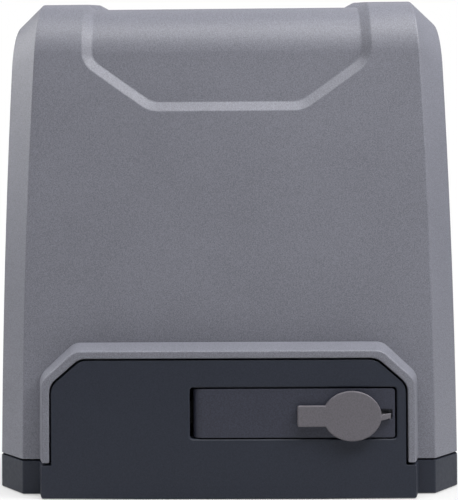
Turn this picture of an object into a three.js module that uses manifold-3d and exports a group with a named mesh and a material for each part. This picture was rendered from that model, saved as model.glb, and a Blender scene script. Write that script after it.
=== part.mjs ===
// Sliding-gate opener: lift-off cover, dark base with release lever, gearbox, motor and controls.
// Millimetres, +Z up. The front faces -Y. The origin is the centre of the underside.
import * as THREE from 'three';
import Module from 'manifold-3d';
import { mergeVertices } from 'three/addons/utils/BufferGeometryUtils.js';

const wasm = await Module();
wasm.setup();

// ---- driving dimensions ------------------------------------------------------------------
const GAP = 0.3;                 // clearance between touching pieces
const HEIGHT = 312;
const HALF_WIDTH = 145;          // side faces at the seam
const FRONT_HALF_WIDTH = 127;    // front face at the seam
const HALF_DEPTH = 81;           // front and rear faces at the seam
const CHAMFER_Y = 53;            // where the corner chamfers meet the side faces
const END_TOP = 299.5;           // top of the side faces
const CREST_RADIUS = 40;
const END_RADIUS = 34;           // crest radius of the side faces
const LEAN = 0.053;              // how far the front leans back per millimetre of height
const SIDE_DRAFT = 0.018;
const FRONT_DRAFT = 0.028;
const COVER_WALL = 3;
const TRAY_HEIGHT = 20.4;
const COVER_BOTTOM = 21.6;
const FLOOR = 6;
const BLOCK_FACE = 97;           // front and rear blocks stand this far from the middle
const RIM_FACE = 97.5;
const SHAFT = { x: -15.2, z: 51.3 };           // output shaft and lever height
const WHEEL = { teeth: 28, module: 2.5 };
const WORM_RADIUS = 11;
const PINION = { teeth: 16, module: 4 };
const WHEEL_RADIUS = WHEEL.teeth * WHEEL.module / 2;
const MOTOR = { x: SHAFT.x + WHEEL_RADIUS + WORM_RADIUS, y: 0, radius: 46, rod: 38.9 };
const LIMIT = { x: -45, z: 108 };
const LEVER = { right: 100.5, bottom: 36.6, top: 66, pivotY: -91, radius: 6 };
const LOCK = { x: 74.5, z: 49.8 };

// ---- materials ---------------------------------------------------------------------------
const paint = (color, roughness, metalness = 0) => () =>
  new THREE.MeshStandardMaterial({ color, roughness, metalness });
const greyPlastic = paint(0x75757f, 0.6);
const darkPaint = paint(0x343740, 0.55);
const leverPlastic = paint(0x40424c, 0.5);
const capRubber = paint(0x68656a, 0.8);
const aluminium = paint(0xb8babd, 0.45, 0.9);
const steel = paint(0x9a9da1, 0.35, 1);
const darkSteel = paint(0x55585c, 0.4, 1);
const bronze = paint(0xa8794a, 0.4, 1);
const brass = paint(0xc2a15a, 0.35, 1);
const blackPlastic = paint(0x1d1e20, 0.6);
const boardGreen = paint(0x1e5c3a, 0.5);
const terminalGreen = paint(0x2e8b4f, 0.5);
const blackRubber = paint(0x151515, 0.9);
const whitePlastic = paint(0xd9d9d4, 0.5);
const copper = paint(0xa85a32, 0.4, 0.8);
const laminate = paint(0x6c6f73, 0.6, 0.7);

// ---- solids ------------------------------------------------------------------------------
function solid(shape) {
  if (!shape.isBufferGeometry) return shape;
  const bare = shape.clone();
  bare.deleteAttribute('normal');
  bare.deleteAttribute('uv');
  const merged = mergeVertices(bare);
  return new wasm.Manifold(new wasm.Mesh({
    numProp: 3,
    vertProperties: new Float32Array(merged.attributes.position.array),
    triVerts: new Uint32Array(merged.index.array),
  }));
}

const join = (...shapes) => shapes.map(solid).reduce((all, one) => all.add(one));
const cut = (shape, ...tools) => tools.map(solid).reduce((rest, tool) => rest.subtract(tool), solid(shape));
const common = (...shapes) => shapes.map(solid).reduce((all, one) => all.intersect(one));

function geometryOf(shape) {
  if (shape.isBufferGeometry) return shape;
  const mesh = shape.getMesh();
  const geometry = new THREE.BufferGeometry();
  geometry.setAttribute('position', new THREE.BufferAttribute(new Float32Array(mesh.vertProperties), 3));
  geometry.setIndex(new THREE.BufferAttribute(new Uint32Array(mesh.triVerts), 1));
  geometry.computeVertexNormals();
  return geometry;
}

function box(x0, x1, y0, y1, z0, z1) {
  const geometry = new THREE.BoxGeometry(x1 - x0, y1 - y0, z1 - z0);
  return geometry.translate((x0 + x1) / 2, (y0 + y1) / 2, (z0 + z1) / 2);
}

// Turns a shape that runs along +Z so that it runs along the named axis.
const TURN = {
  x: new THREE.Matrix4().makeBasis(
    new THREE.Vector3(0, 1, 0), new THREE.Vector3(0, 0, 1), new THREE.Vector3(1, 0, 0)),
  y: new THREE.Matrix4().makeBasis(
    new THREE.Vector3(0, 0, 1), new THREE.Vector3(1, 0, 0), new THREE.Vector3(0, 1, 0)),
  z: new THREE.Matrix4(),
};

// A rod along an axis. At gives its centre: [y, z] for x, [x, z] for y, [x, y] for z.
function rod(axis, radius, from, to, at, segments = 32) {
  const geometry = new THREE.CylinderGeometry(radius, radius, to - from, segments);
  geometry.rotateX(Math.PI / 2).translate(0, 0, (from + to) / 2).applyMatrix4(TURN[axis]);
  const place = { x: [0, at[0], at[1]], y: [at[0], 0, at[1]], z: [at[0], at[1], 0] }[axis];
  return geometry.translate(...place);
}

const ring = (axis, outer, inner, from, to, at, segments = 32) =>
  cut(rod(axis, outer, from, to, at, segments), rod(axis, inner, from - 1, to + 1, at, segments));

// An outline of [x, y] points raised along Z.
function prismZ(points, from, to) {
  const shape = new THREE.Shape(points.map(([x, y]) => new THREE.Vector2(x, y)));
  return new THREE.ExtrudeGeometry(shape, { depth: to - from, bevelEnabled: false }).translate(0, 0, from);
}

// An outline of [x, z] points drawn along Y.
function prismY(points, from, to) {
  return prismZ(points, -to, -from).rotateX(Math.PI / 2);
}

// A closed skin through rings of points, with a fan on each end.
function loft(rings) {
  const count = rings[0].length;
  const triangles = [];
  const middle = (points) => points.reduce((sum, p) => sum.add(p), new THREE.Vector3()).divideScalar(count);
  const first = middle(rings[0]);
  const last = middle(rings.at(-1));
  for (let i = 0; i < count; i++) {
    const next = (i + 1) % count;
    for (let k = 0; k + 1 < rings.length; k++) {
      triangles.push(rings[k][i], rings[k][next], rings[k + 1][next]);
      triangles.push(rings[k][i], rings[k + 1][next], rings[k + 1][i]);
    }
    triangles.push(first, rings[0][next], rings[0][i]);
    triangles.push(last, rings.at(-1)[i], rings.at(-1)[next]);
  }
  let volume = 0;
  for (let i = 0; i < triangles.length; i += 3) {
    volume += triangles[i].dot(triangles[i + 1].clone().cross(triangles[i + 2]));
  }
  return new THREE.BufferGeometry().setFromPoints(volume > 0 ? triangles : triangles.reverse());
}

function roundedRectangle(x0, x1, y0, y1, radius, segments = 4) {
  const points = [];
  const corners = [[x1 - radius, y1 - radius, 0], [x0 + radius, y1 - radius, 1],
    [x0 + radius, y0 + radius, 2], [x1 - radius, y0 + radius, 3]];
  for (const [x, y, quarter] of corners) {
    for (let i = 0; i <= segments; i++) {
      const angle = (quarter + i / segments) * Math.PI / 2;
      points.push([x + radius * Math.cos(angle), y + radius * Math.sin(angle)]);
    }
  }
  return points;
}

// ---- scene -------------------------------------------------------------------------------
const opener = new THREE.Group();

function piece(name, shape, material, place = [0, 0, 0]) {
  const mesh = new THREE.Mesh(geometryOf(shape), material());
  mesh.name = name;
  mesh.position.set(...place);
  opener.add(mesh);
}

// ---- outlines of the body ----------------------------------------------------------------
const sideHalf = (z) => HALF_WIDTH - SIDE_DRAFT * (z - COVER_BOTTOM);
const frontHalf = (z) => FRONT_HALF_WIDTH - FRONT_DRAFT * (z - COVER_BOTTOM);

// Eight-sided plan of the tray, moved in by inset.
function trayPlan(inset) {
  const x = HALF_WIDTH - inset;
  const y = HALF_DEPTH - inset;
  const cx = FRONT_HALF_WIDTH - inset * 0.6;
  const cy = CHAMFER_Y - inset * 0.6;
  return [[x, -cy], [x, cy], [cx, y], [-cx, y], [-x, cy], [-x, -cy], [-cx, -y], [cx, -y]];
}

// Side view of the cover as [y, z] points: leaning front, round crest, flat top, then its mirror.
function coverSection(halfDepth, top, radius, bottom) {
  const slant = Math.hypot(1, LEAN);
  const centreZ = top - radius;
  const centreY = -halfDepth + LEAN * (centreZ - COVER_BOTTOM) + radius * slant;
  const front = [[-halfDepth + LEAN * (bottom - COVER_BOTTOM), bottom]];
  const start = Math.PI - Math.atan(LEAN);
  const steps = 8;
  for (let i = 0; i <= steps; i++) {
    const angle = start + (Math.PI / 2 - start) * i / steps;
    front.push([centreY + radius * Math.cos(angle), centreZ + radius * Math.sin(angle)]);
  }
  return [...front, ...front.map(([y, z]) => [-y, z]).reverse()];
}

// The body of the cover, moved in by inset.
function coverBody(inset, bottom) {
  const face = coverSection(HALF_DEPTH - inset, HEIGHT - inset, CREST_RADIUS - inset, bottom);
  const end = coverSection(CHAMFER_Y - inset * 0.6, END_TOP - inset * 0.6, END_RADIUS - inset, bottom);
  const station = (section, half, sign) =>
    section.map(([y, z]) => new THREE.Vector3(sign * (half(z) - inset), y, z));
  return loft([station(end, sideHalf, -1), station(face, frontHalf, -1),
    station(face, frontHalf, 1), station(end, sideHalf, 1)]);
}

// Arch outline as [x, z] points: straight legs and a top with cut corners.
function arch(half, top, bottom, cutX = 18, cutZ = 15.5, spread = 0) {
  const right = [[half + spread, bottom], [half, top - cutZ], [half - cutX, top]];
  return [...right, ...right.map(([x, z]) => [-x, z]).reverse()];
}

const ring3 = (outline, y) => outline.map(([x, z]) => new THREE.Vector3(x, y, z));

// ---- cover -------------------------------------------------------------------------------
const FRONT_ARCH = { half: 107.2, top: 83.1 };
const REAR_ARCH = { half: 81, top: 127.6 };

// Raised rim around an arch, from the cover plane out to the rim face. Side is -1 at the front.
function rim({ half, top }, side) {
  const root = arch(half + 9.8, top + 10.3, COVER_BOTTOM, 21, 18.7, 0.6);
  const ridge = arch(half + 6, top + 7.2, COVER_BOTTOM, 20, 18.2, 0.6);
  const foot = prismY(arch(half + 6, top + 7.2, 20.5, 20, 18.2, 0.6), 82, RIM_FACE);
  const body = join(loft([ring3(root, HALF_DEPTH - 5), ring3(ridge, RIM_FACE)]), foot);
  return side > 0 ? body : body.mirror([0, 1, 0]);
}

function topCover() {
  const recessFront = [[-88, 330], [-88, 270], [-45, 240.5], [45, 240.5], [88, 270], [88, 330]];
  const recessTop = [[-88, -120], [88, -120], [88, -46], [50, -9], [-50, -9], [-88, -46]];
  const recess = common(
    cut(coverBody(-4, 200), coverBody(3.6, 190)),
    prismY(recessFront, -120, 60),
    prismZ(recessTop, 200, 330));
  const backing = common(cut(coverBody(1, 205), coverBody(6, 195)),
    prismY(recessFront.map(([x, z]) => [x * 1.04, z - 3]), -110, 50),
    prismZ(recessTop.map(([x, y]) => [x * 1.04, y + 3]), 210, 330));
  const shell = cut(coverBody(0, COVER_BOTTOM), coverBody(COVER_WALL, COVER_BOTTOM - 5));
  let cover = cut(join(shell, backing), recess);
  cover = join(cover, rim(FRONT_ARCH, -1), rim(REAR_ARCH, 1));
  cover = cut(cover,
    prismY(arch(FRONT_ARCH.half + 1, FRONT_ARCH.top + 1.9, 10, 18, 15.5, 1), -110, 0),
    prismY(arch(REAR_ARCH.half + 1, REAR_ARCH.top + 1.9, 10, 18, 15.5, 1), 0, 110));
  for (const side of [-1, 1]) {
    const tab = join(box(132.8, 135.8, -8, 8, 8, 40), box(135.5, 143, -8, 8, 26, 40));
    const slot = join(box(132, 137, -2.7, 2.7, 7, 11), rod('x', 2.7, 132, 137, [0, 11], 16));
    const hook = cut(tab, slot);
    cover = join(cover, side > 0 ? hook : hook.mirror([1, 0, 0]));
  }
  return cover;
}
piece('top_cover', topCover(), greyPlastic);

// ---- base --------------------------------------------------------------------------------
const ANCHOR = { x: 124, y: 42, radius: 5.5, travel: 5 };
const CABLE_HOLE = { x: -98, y: -38, radius: 14 };

function baseHousing() {
  const wall = 3.5;
  const tray = cut(prismZ(trayPlan(0), 0, TRAY_HEIGHT), prismZ(trayPlan(wall), FLOOR, TRAY_HEIGHT + 1));
  const frontFoot = prismZ([[-113.2, -BLOCK_FACE], [113.2, -BLOCK_FACE], [116.8, -HALF_DEPTH],
    [116.8, -70], [-116.8, -70], [-116.8, -HALF_DEPTH]], 0, 19.5);
  const rearFoot = prismZ([[87, BLOCK_FACE], [-87, BLOCK_FACE], [-90, HALF_DEPTH],
    [-90, 70], [90, 70], [90, HALF_DEPTH]], 0, 19.5);
  const frontPanel = prismY(arch(FRONT_ARCH.half, FRONT_ARCH.top, 0), -BLOCK_FACE, -62);
  const rearPanel = prismY(arch(REAR_ARCH.half, REAR_ARCH.top, 0), 60, BLOCK_FACE);
  const at = [SHAFT.x, SHAFT.z];
  const rearHollow = cut(box(-74, 74, 59, 90, 8, 119),
    rod('y', 27, 58, 91, at), rod('y', 9, 58, 91, [LIMIT.x, LIMIT.z], 20));
  const leverPocket = box(-23.9, 101.8, -98, -66, 35.7, 67);
  const armPocket = box(-34, -20, -93, -66, 42, 60);
  const tools = [
    box(-103, -40, -93, -61, 8, 66),
    rearHollow, leverPocket, armPocket,
    rod('y', 4.3, -70, -60, at, 16),
    rod('y', 21.3, 59, 88.5, at), rod('y', 16.3, 88, 98, at), 
    rod('y', 4.4, 59, 98, [LIMIT.x, LIMIT.z], 16),
    rod('z', 2.9, 28, 73, [SHAFT.x, LEVER.pivotY], 12),
    rod('z', CABLE_HOLE.radius, -1, FLOOR + 1, [CABLE_HOLE.x, CABLE_HOLE.y], 24),
  ];
  for (const sx of [-1, 1]) {
    for (const sy of [-1, 1]) {
      const [x, y] = [sx * ANCHOR.x, sy * ANCHOR.y];
      const r = ANCHOR.radius;
      tools.push(prismZ(roundedRectangle(x - r, x + r, y - r - ANCHOR.travel, y + r + ANCHOR.travel, r - 0.01),
        -1, FLOOR + 1));
    }
  }
  let base = cut(join(tray, frontFoot, rearFoot, frontPanel, rearPanel), ...tools);
  for (const side of [-1, 1]) {
    const [near, far] = side > 0 ? [136.5, 144] : [-144, -136.5];
    const [hole, face] = side > 0 ? [142, 146] : [-146, -142];
    base = join(base, box(near, far, -9, 9, 5, TRAY_HEIGHT));
    base = cut(base, rod('x', 2.4, Math.min(near, hole) - 3, Math.max(far, face), [0, 11], 12),
      rod('x', 4.9, hole, face, [0, 11], 20));
  }
  return base;
}
piece('base_housing', baseHousing(), darkPaint);

function coverScrew() {
  const head = join(rod('x', 4.5, 142.3, 144.8, [0, 11], 20), rod('x', 2, 128, 143, [0, 11], 12));
  return cut(head, box(144, 145, -3, 3, 10.5, 11.5));
}
piece('cover_screw_right', coverScrew(), steel);
piece('cover_screw_left', coverScrew().mirror([1, 0, 0]), steel);

const grommetAt = [CABLE_HOLE.x, CABLE_HOLE.y];
piece('cable_grommet', cut(
  join(rod('z', CABLE_HOLE.radius - GAP, 1, 8, grommetAt, 24), rod('z', 17.5, FLOOR + GAP, 9, grommetAt, 24)),
  rod('z', 9, 0, 10, grommetAt, 24)), blackRubber);

// ---- gearbox -----------------------------------------------------------------------------
const CASE = { left: -66, right: 60, front: -42, back: 42, floor: FLOOR + GAP, top: 93 };
const PLATE_TOP = 101.3;
const shaftAt = [SHAFT.x, SHAFT.z];
const motorAt = [MOTOR.x, MOTOR.y];
const FLANGE_RIGHT = 77;
const SCREWS = [[-60.5, -34], [-60.5, 34], [70.5, -35.5], [70.5, 35.5]];

function gearboxHousing() {
  const body = join(
    prismZ(roundedRectangle(CASE.left, CASE.right, CASE.front, CASE.back, 9), CASE.floor, CASE.top),
    prismZ(roundedRectangle(CASE.left, FLANGE_RIGHT, CASE.front, CASE.back, 9), 83, CASE.top));
  const chamber = prismZ(roundedRectangle(-55, 49, -26, 30, 8), 11.5, CASE.top + 1);
  const seat = cut(rod('z', 15, 11, 18, motorAt), rod('z', 11.3, 11.9, 19, motorAt));
  return cut(join(cut(body, chamber,
    rod('y', 17.8, -38.5, -25, shaftAt), rod('y', 5, -43, -38, shaftAt, 16),
    rod('y', 14, 29, 43, shaftAt)), seat),
  ...SCREWS.map((at) => rod('z', 2.9, 75, CASE.top + 1, at, 12)));
}
piece('gearbox_housing', gearboxHousing(), aluminium);

function gearboxCover() {
  const plate = prismZ(roundedRectangle(CASE.left, FLANGE_RIGHT, -46, 46, 10), CASE.top + GAP, PLATE_TOP);
  return cut(plate, rod('z', 13.3, 92, 102, motorAt), ...SCREWS.map((at) => rod('z', 2.9, 92, 102, at, 12)));
}
piece('gearbox_cover', gearboxCover(), aluminium);

const capScrew = join(rod('z', 2.5, 77, PLATE_TOP + 1, [0, 0], 12),
  rod('z', 4.2, PLATE_TOP + GAP, PLATE_TOP + 5, [0, 0], 16));
SCREWS.forEach(([x, y], i) => piece(`gearbox_screw_${i + 1}`, 
  cut(capScrew, rod('z', 2.2, PLATE_TOP + 2.5, PLATE_TOP + 6, [0, 0], 6)), steel, [x, y, 0]));

piece('front_bearing', ring('y', 17.5, 10.3, -38, -27, shaftAt), steel);
piece('rear_bearing', ring('y', 21, 11.4, 76, 88, shaftAt), steel);
piece('output_seal', ring('y', 16, 11.3, 89, 96.8, shaftAt), blackRubber);
piece('worm_lower_bearing', ring('z', 11, 5.4, 12.2, 17.5, motorAt, 24), steel);
piece('worm_upper_bearing', ring('z', 13, 6.4, 94, 101, motorAt, 24), steel);

// ---- output train ------------------------------------------------------------------------
// Gear outline as [x, z] points round the origin, a tooth centred on each pitch angle plus phase.
function gearOutline(teeth, tip, root, tipHalf, rootHalf, phase) {
  const points = [];
  for (let i = 0; i < teeth; i++) {
    const middle = (i + phase) * 2 * Math.PI / teeth;
    for (const [radius, half] of [[root, -rootHalf], [tip, -tipHalf], [tip, tipHalf], [root, rootHalf]]) {
      const angle = middle + half / radius;
      points.push([radius * Math.cos(angle), radius * Math.sin(angle)]);
    }
  }
  return points;
}

function outputShaft() {
  const slender = join(rod('y', 10, -38.2, -9, shaftAt), rod('y', 11, -9.2, 126, shaftAt));
  return cut(slender, rod('y', 4.3, -41, 26, shaftAt, 16),
    box(SHAFT.x - 12, SHAFT.x + 12, 11, 27, SHAFT.z - 2.9, SHAFT.z + 2.9),
    rod('y', 3.3, 108, 127, shaftAt, 16));
}
piece('output_shaft', outputShaft(), steel);

// Wheel teeth are twisted to follow the thread of the worm.
function wormWheel() {
  const half = 7;
  const twist = WHEEL.module / (2 * WORM_RADIUS) / WHEEL_RADIUS;
  const outline = gearOutline(WHEEL.teeth, WHEEL_RADIUS + 1.8, WHEEL_RADIUS - 2.6, 0.8, 2.2, 0.5);
  const rings = [-half, half].map((y) => {
    const turn = -y * twist;
    return outline.map(([x, z]) => new THREE.Vector3(
      SHAFT.x + x * Math.cos(turn) - z * Math.sin(turn), y, SHAFT.z + x * Math.sin(turn) + z * Math.cos(turn)));
  });
  const dogs = [0, 1, 2, 3].map((i) => {
    const angle = i * Math.PI / 2;
    return box(14, 22, 6.5, 12, -3, 3).rotateY(angle).translate(SHAFT.x, 0, SHAFT.z);
  });
  return cut(join(loft(rings), ...dogs), rod('y', 11.4, -12, 14, shaftAt));
}
piece('worm_wheel', wormWheel(), bronze);

function clutchRing() {
  const body = ring('y', 25, 11.4, 9, 19, shaftAt);
  const notches = [0, 1, 2, 3].map((i) =>
    box(13, 26, 8, 13, -4.2, 4.2).rotateY(i * Math.PI / 2).translate(SHAFT.x, 0, SHAFT.z));
  const bar = box(SHAFT.x - 13, SHAFT.x + 13, 13.4, 17.6, SHAFT.z - 2.3, SHAFT.z + 2.3);
  return join(cut(body, ...notches), bar);
}
piece('clutch_ring', clutchRing(), darkSteel);

function drivePinion() {
  const radius = PINION.teeth * PINION.module / 2;
  const outline = [];
  for (let i = 0; i < PINION.teeth; i++) {
    const middle = i * 2 * Math.PI / PINION.teeth;
    const flank = [[radius - 4.9, 4.5], [radius - 2, 3.9], [radius + 1, 2.8], [radius + 4, 1.4]];
    for (const [r, half] of flank) outline.push([r, middle - half / r]);
    for (const [r, half] of [...flank].reverse()) outline.push([r, middle + half / r]);
  }
  const points = outline.map(([r, a]) => [SHAFT.x + r * Math.cos(a), SHAFT.z + r * Math.sin(a)]);
  return cut(prismY(points, 99.5, 124.5), rod('y', 11.4, 99, 125, shaftAt));
}
piece('drive_pinion', drivePinion(), steel);
piece('pinion_washer', ring('y', 15.5, 4.2, 126.4, 129, shaftAt), steel);
piece('pinion_bolt', cut(
  join(rod('y', 3, 109, 130, shaftAt, 16), rod('y', 7.5, 129.3, 135, shaftAt, 6)),
  rod('y', 2, 134.4, 136, shaftAt, 12)), steel);

// ---- motor -------------------------------------------------------------------------------
const ROD_PLACES = [45, 135, 225, 315].map((degrees) => {
  const angle = THREE.MathUtils.degToRad(degrees);
  return [MOTOR.x + MOTOR.rod * Math.cos(angle), MOTOR.y + MOTOR.rod * Math.sin(angle)];
});

// Single-start thread: a trapezoid carried round the shaft, one pitch per turn.
function wormThread() {
  const pitch = Math.PI * WHEEL.module;
  const turns = 4;
  const steps = 12;
  const rings = [];
  for (let i = 0; i <= turns * steps; i++) {
    const angle = Math.PI + (i / steps - turns / 2) * 2 * Math.PI;
    const z = SHAFT.z + (i / steps - turns / 2) * pitch;
    const corner = (radius, rise) =>
      new THREE.Vector3(MOTOR.x + radius * Math.cos(angle), radius * Math.sin(angle), z + rise);
    rings.push([corner(8, -2.2), corner(12.8, -0.8), corner(12.8, 0.8), corner(8, 2.2)]);
  }
  return loft(rings);
}

function wormShaft() {
  const steps = [[5, 12.5, 23], [8.4, 22.5, 80], [6, 79.5, 108], [7, 107.5, 192], [4.6, 191.5, 218]];
  return join(wormThread(), ...steps.map(([radius, from, to]) => rod('z', radius, from, to, motorAt, 24)));
}
piece('worm_shaft', wormShaft(), steel);
piece('rotor_core', ring('z', 23, 7.4, 120, 182, motorAt), laminate);
piece('stator_core', ring('z', 34, 23.7, 118, 184, motorAt), laminate);

function motorHousing() {
  const outline = gearOutline(24, MOTOR.radius, 42.4, 1.4, 2, 0.5).map(([x, y]) => [x + MOTOR.x, y + MOTOR.y]);
  return cut(prismZ(outline, PLATE_TOP + GAP, 200), rod('z', 34.5, 101, 201, motorAt),
    ...ROD_PLACES.map((at) => rod('z', 2.9, 101, 201, at, 12)));
}
piece('motor_housing', motorHousing(), aluminium);

function motorCap() {
  const flange = join(rod('z', MOTOR.radius, 200.3, 208, motorAt),
    new THREE.CylinderGeometry(27, 33, 14.2, 32).rotateX(Math.PI / 2).translate(MOTOR.x, MOTOR.y, 215));
  return cut(flange, rod('z', 30, 200, 205, motorAt), rod('z', 11.3, 204, 219, motorAt),
    ...ROD_PLACES.map((at) => rod('z', 2.9, 200, 209, at, 12)));
}
piece('motor_cap', motorCap(), aluminium);
piece('motor_top_bearing', ring('z', 11, 5, 211.5, 218.5, motorAt, 24), steel);
const tieBolt = join(rod('z', 2.5, 101.8, 209, [0, 0], 12), rod('z', 4.6, 208.3, 212.4, [0, 0], 6));
ROD_PLACES.forEach(([x, y], i) => piece(`tie_bolt_${i + 1}`, tieBolt, steel, [x, y, 0]));

// ---- electrics ---------------------------------------------------------------------------
const CAPACITOR_AT = [-97, 28];
piece('run_capacitor', join(rod('z', 19.5, FLOOR + GAP, 104, CAPACITOR_AT), 
  rod('z', 17, 103, 107, CAPACITOR_AT), rod('z', 3, 106, 113, [CAPACITOR_AT[0] - 7, CAPACITOR_AT[1]], 8),
  rod('z', 3, 106, 113, [CAPACITOR_AT[0] + 7, CAPACITOR_AT[1]], 8)), whitePlastic);
piece('capacitor_clamp', join(ring('z', 22, 19.8, 60, 72, CAPACITOR_AT),
  box(-97 + 21, -66.4, 23, 33, 60, 72)), steel);

piece('transformer_core', cut(box(64, 106, -22, 34, FLOOR + GAP, 62),
  box(72, 98, -23, -8, 20, 48), box(72, 98, 20, 35, 20, 48)), laminate);
piece('transformer_coil', cut(prismZ(roundedRectangle(60, 110, -34, 46, 8), 20.4, 47.6),
  box(63.6, 106.4, -22.4, 34.4, 20, 48)), copper);

piece('board_tray', join(box(-106, 90, -58, -54.5, 83.6, 226), box(-92, 84, -72, -57, 83.6, 87.2),
  box(-104, 88, -58, -48, 222.5, 226)), blackPlastic);
const BOARD_FACE = -60.3;
piece('control_board', box(-100, 84, BOARD_FACE, BOARD_FACE + 1.6, 112, 218), boardGreen);

function terminalBlock(poles) {
  const pitch = 7.5;
  const body = prismZ([[0, 0], [poles * pitch, 0], [poles * pitch, -11], [0, -11]], 0, 13);
  const entries = Array.from({ length: poles }, (_, i) =>
    box((i + 0.22) * pitch, (i + 0.78) * pitch, -9, -3, -1, 4));
  return cut(body, ...entries);
}
piece('terminal_block_left', terminalBlock(10), terminalGreen, [-94, BOARD_FACE - GAP, 115]);
piece('terminal_block_right', terminalBlock(8), terminalGreen, [8, BOARD_FACE - GAP, 115]);
for (const [i, x] of [-88, -62].entries()) {
  piece(`relay_${i + 1}`, box(x, x + 20, BOARD_FACE - 8.6, BOARD_FACE - GAP, 150, 178), whitePlastic);
}
const BUTTON_AT = [20, 190];
piece('button_switch', cut(box(14, 26, BOARD_FACE - 3.4, BOARD_FACE - GAP, 184, 196),
  rod('y', 2.8, -64, BOARD_FACE - 0.8, BUTTON_AT, 16)), blackPlastic);
piece('learn_button', rod('y', 2.4, -67, BOARD_FACE - 2.2, BUTTON_AT, 16), capRubber);

// ---- limit switch ------------------------------------------------------------------------
piece('limit_switch_box', cut(box(-65, -27, 47, 59.6, 90, 124),
  rod('y', 4.5, 50, 61, [LIMIT.x, LIMIT.z], 16)), blackPlastic);
piece('limit_shaft', join(rod('y', 4, 51, 108, [LIMIT.x, LIMIT.z], 16),
  rod('y', 8, 98.6, 108, [LIMIT.x, LIMIT.z], 20)), steel);

function limitSpring() {
  const points = [[0, 116.4]];
  const coils = 7;
  for (let i = 0; i < coils; i++) {
    points.push([3, 116.4 + i * 6], [4.2, 118 + i * 6], [4.2, 120.4 + i * 6]);
  }
  points.push([1.8, 160], [1.8, 182], [0, 183]);
  const profile = points.map(([r, h]) => new THREE.Vector2(r, h));
  return new THREE.LatheGeometry(profile, 8).rotateX(Math.PI / 2).translate(LIMIT.x, 103.3, 0);
}
piece('limit_spring', solid(limitSpring()), steel);

// ---- release lever -----------------------------------------------------------------------
const lockAt = [LOCK.x, LOCK.z];

function releaseLever() {
  const { right, bottom, top, pivotY, radius } = LEVER;
  const pivot = [SHAFT.x, pivotY];
  const plate = join(rod('z', radius, bottom, top, pivot),
    box(SHAFT.x, right, -BLOCK_FACE, -85, bottom, top));
  const arm = join(box(SHAFT.x - 12, SHAFT.x, -91.5, -86, 44, 58.6),
    rod('z', 2.7, 44, 58.6, [SHAFT.x - 12.8, -88.75], 12));
  const barrelSeat = rod('y', 13, -86, -72, lockAt);
  return cut(join(plate, arm, barrelSeat), rod('z', 2.9, 30, 75, pivot, 16),
    rod('y', 9, -98, -71, lockAt), rod('y', 11.3, -98, -95.4, lockAt),
    box(91.6, 97.6, -98, -94.6, 47.6, 53.6));
}
piece('release_lever', releaseLever(), leverPlastic);
piece('lever_hinge_pin', rod('z', 2.5, 28.3, 72.7, [SHAFT.x, LEVER.pivotY], 16), steel);
piece('lock_bezel', ring('y', 11, 9, -97, -95.7, lockAt), steel);
piece('lock_barrel', cut(rod('y', 8.7, -96.6, -71.8, lockAt),
  box(LOCK.x - 0.8, LOCK.x + 0.8, -98, -84, LOCK.z - 4.4, LOCK.z + 4.4)), brass);
piece('lock_cam', cut(join(rod('y', 7, -71.4, -68.6, lockAt, 20), box(LOCK.x, LOCK.x + 12, -71.4, -68.6,
  LOCK.z - 4, LOCK.z + 4)), rod('y', 1.6, -72, -68, lockAt, 12)), steel);
piece('cap_anchor', box(92, 97.2, -97.2, -95, 48, 53.2), capRubber);

function keyCap() {
  const oval = rod('y', 15, -101, -97.4, [0, 0], 32).scale(17.6 / 15, 1, 1).translate(LOCK.x, 0, LOCK.z);
  const tab = prismY(roundedRectangle(41.7, 62, 43.9, 56.4, 2), -101, -97.4);
  const strap = box(88, 97, -98.8, -97.6, 48.9, 52.3);
  return join(oval, tab, strap);
}
piece('key_cap', keyCap(), capRubber);
piece('release_pushrod', rod('y', 3.5, -81, 12.6, shaftAt, 16), steel);

export default opener;
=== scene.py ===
"""Sliding-gate opener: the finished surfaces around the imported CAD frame. Lengths are in millimetres
until a mesh is made, and +Z is up, with the front facing -Y."""
import math
import random

import bmesh
import bpy
from mathutils import Matrix, Vector
from mathutils.geometry import delaunay_2d_cdt


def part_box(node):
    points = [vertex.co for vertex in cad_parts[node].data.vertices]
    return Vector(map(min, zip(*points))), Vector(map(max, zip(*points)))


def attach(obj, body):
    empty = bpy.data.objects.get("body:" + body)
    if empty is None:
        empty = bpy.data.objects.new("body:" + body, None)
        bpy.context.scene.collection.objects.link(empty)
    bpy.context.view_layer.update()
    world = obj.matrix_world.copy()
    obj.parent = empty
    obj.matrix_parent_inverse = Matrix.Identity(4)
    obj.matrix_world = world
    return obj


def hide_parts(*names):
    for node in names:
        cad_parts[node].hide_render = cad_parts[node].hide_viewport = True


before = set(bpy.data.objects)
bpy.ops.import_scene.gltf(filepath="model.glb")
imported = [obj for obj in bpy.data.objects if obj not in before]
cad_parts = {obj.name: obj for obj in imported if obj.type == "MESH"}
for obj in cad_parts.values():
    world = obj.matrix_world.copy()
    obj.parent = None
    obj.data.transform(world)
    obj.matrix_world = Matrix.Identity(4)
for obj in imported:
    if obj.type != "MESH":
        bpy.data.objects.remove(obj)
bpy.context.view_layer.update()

MM = 0.001
QUARTER = math.pi / 2


def box_mm(node):
    low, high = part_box(node)
    return low / MM, high / MM


def middle_of(node, axes):
    """The middle of a CAD node's box along two axes, as a pair."""
    low, high = box_mm(node)
    return tuple((getattr(low, axis) + getattr(high, axis)) / 2 for axis in axes)


COVER_LOW, COVER_HIGH = box_mm("top_cover")
BASE_LOW, BASE_HIGH = box_mm("base_housing")

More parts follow.
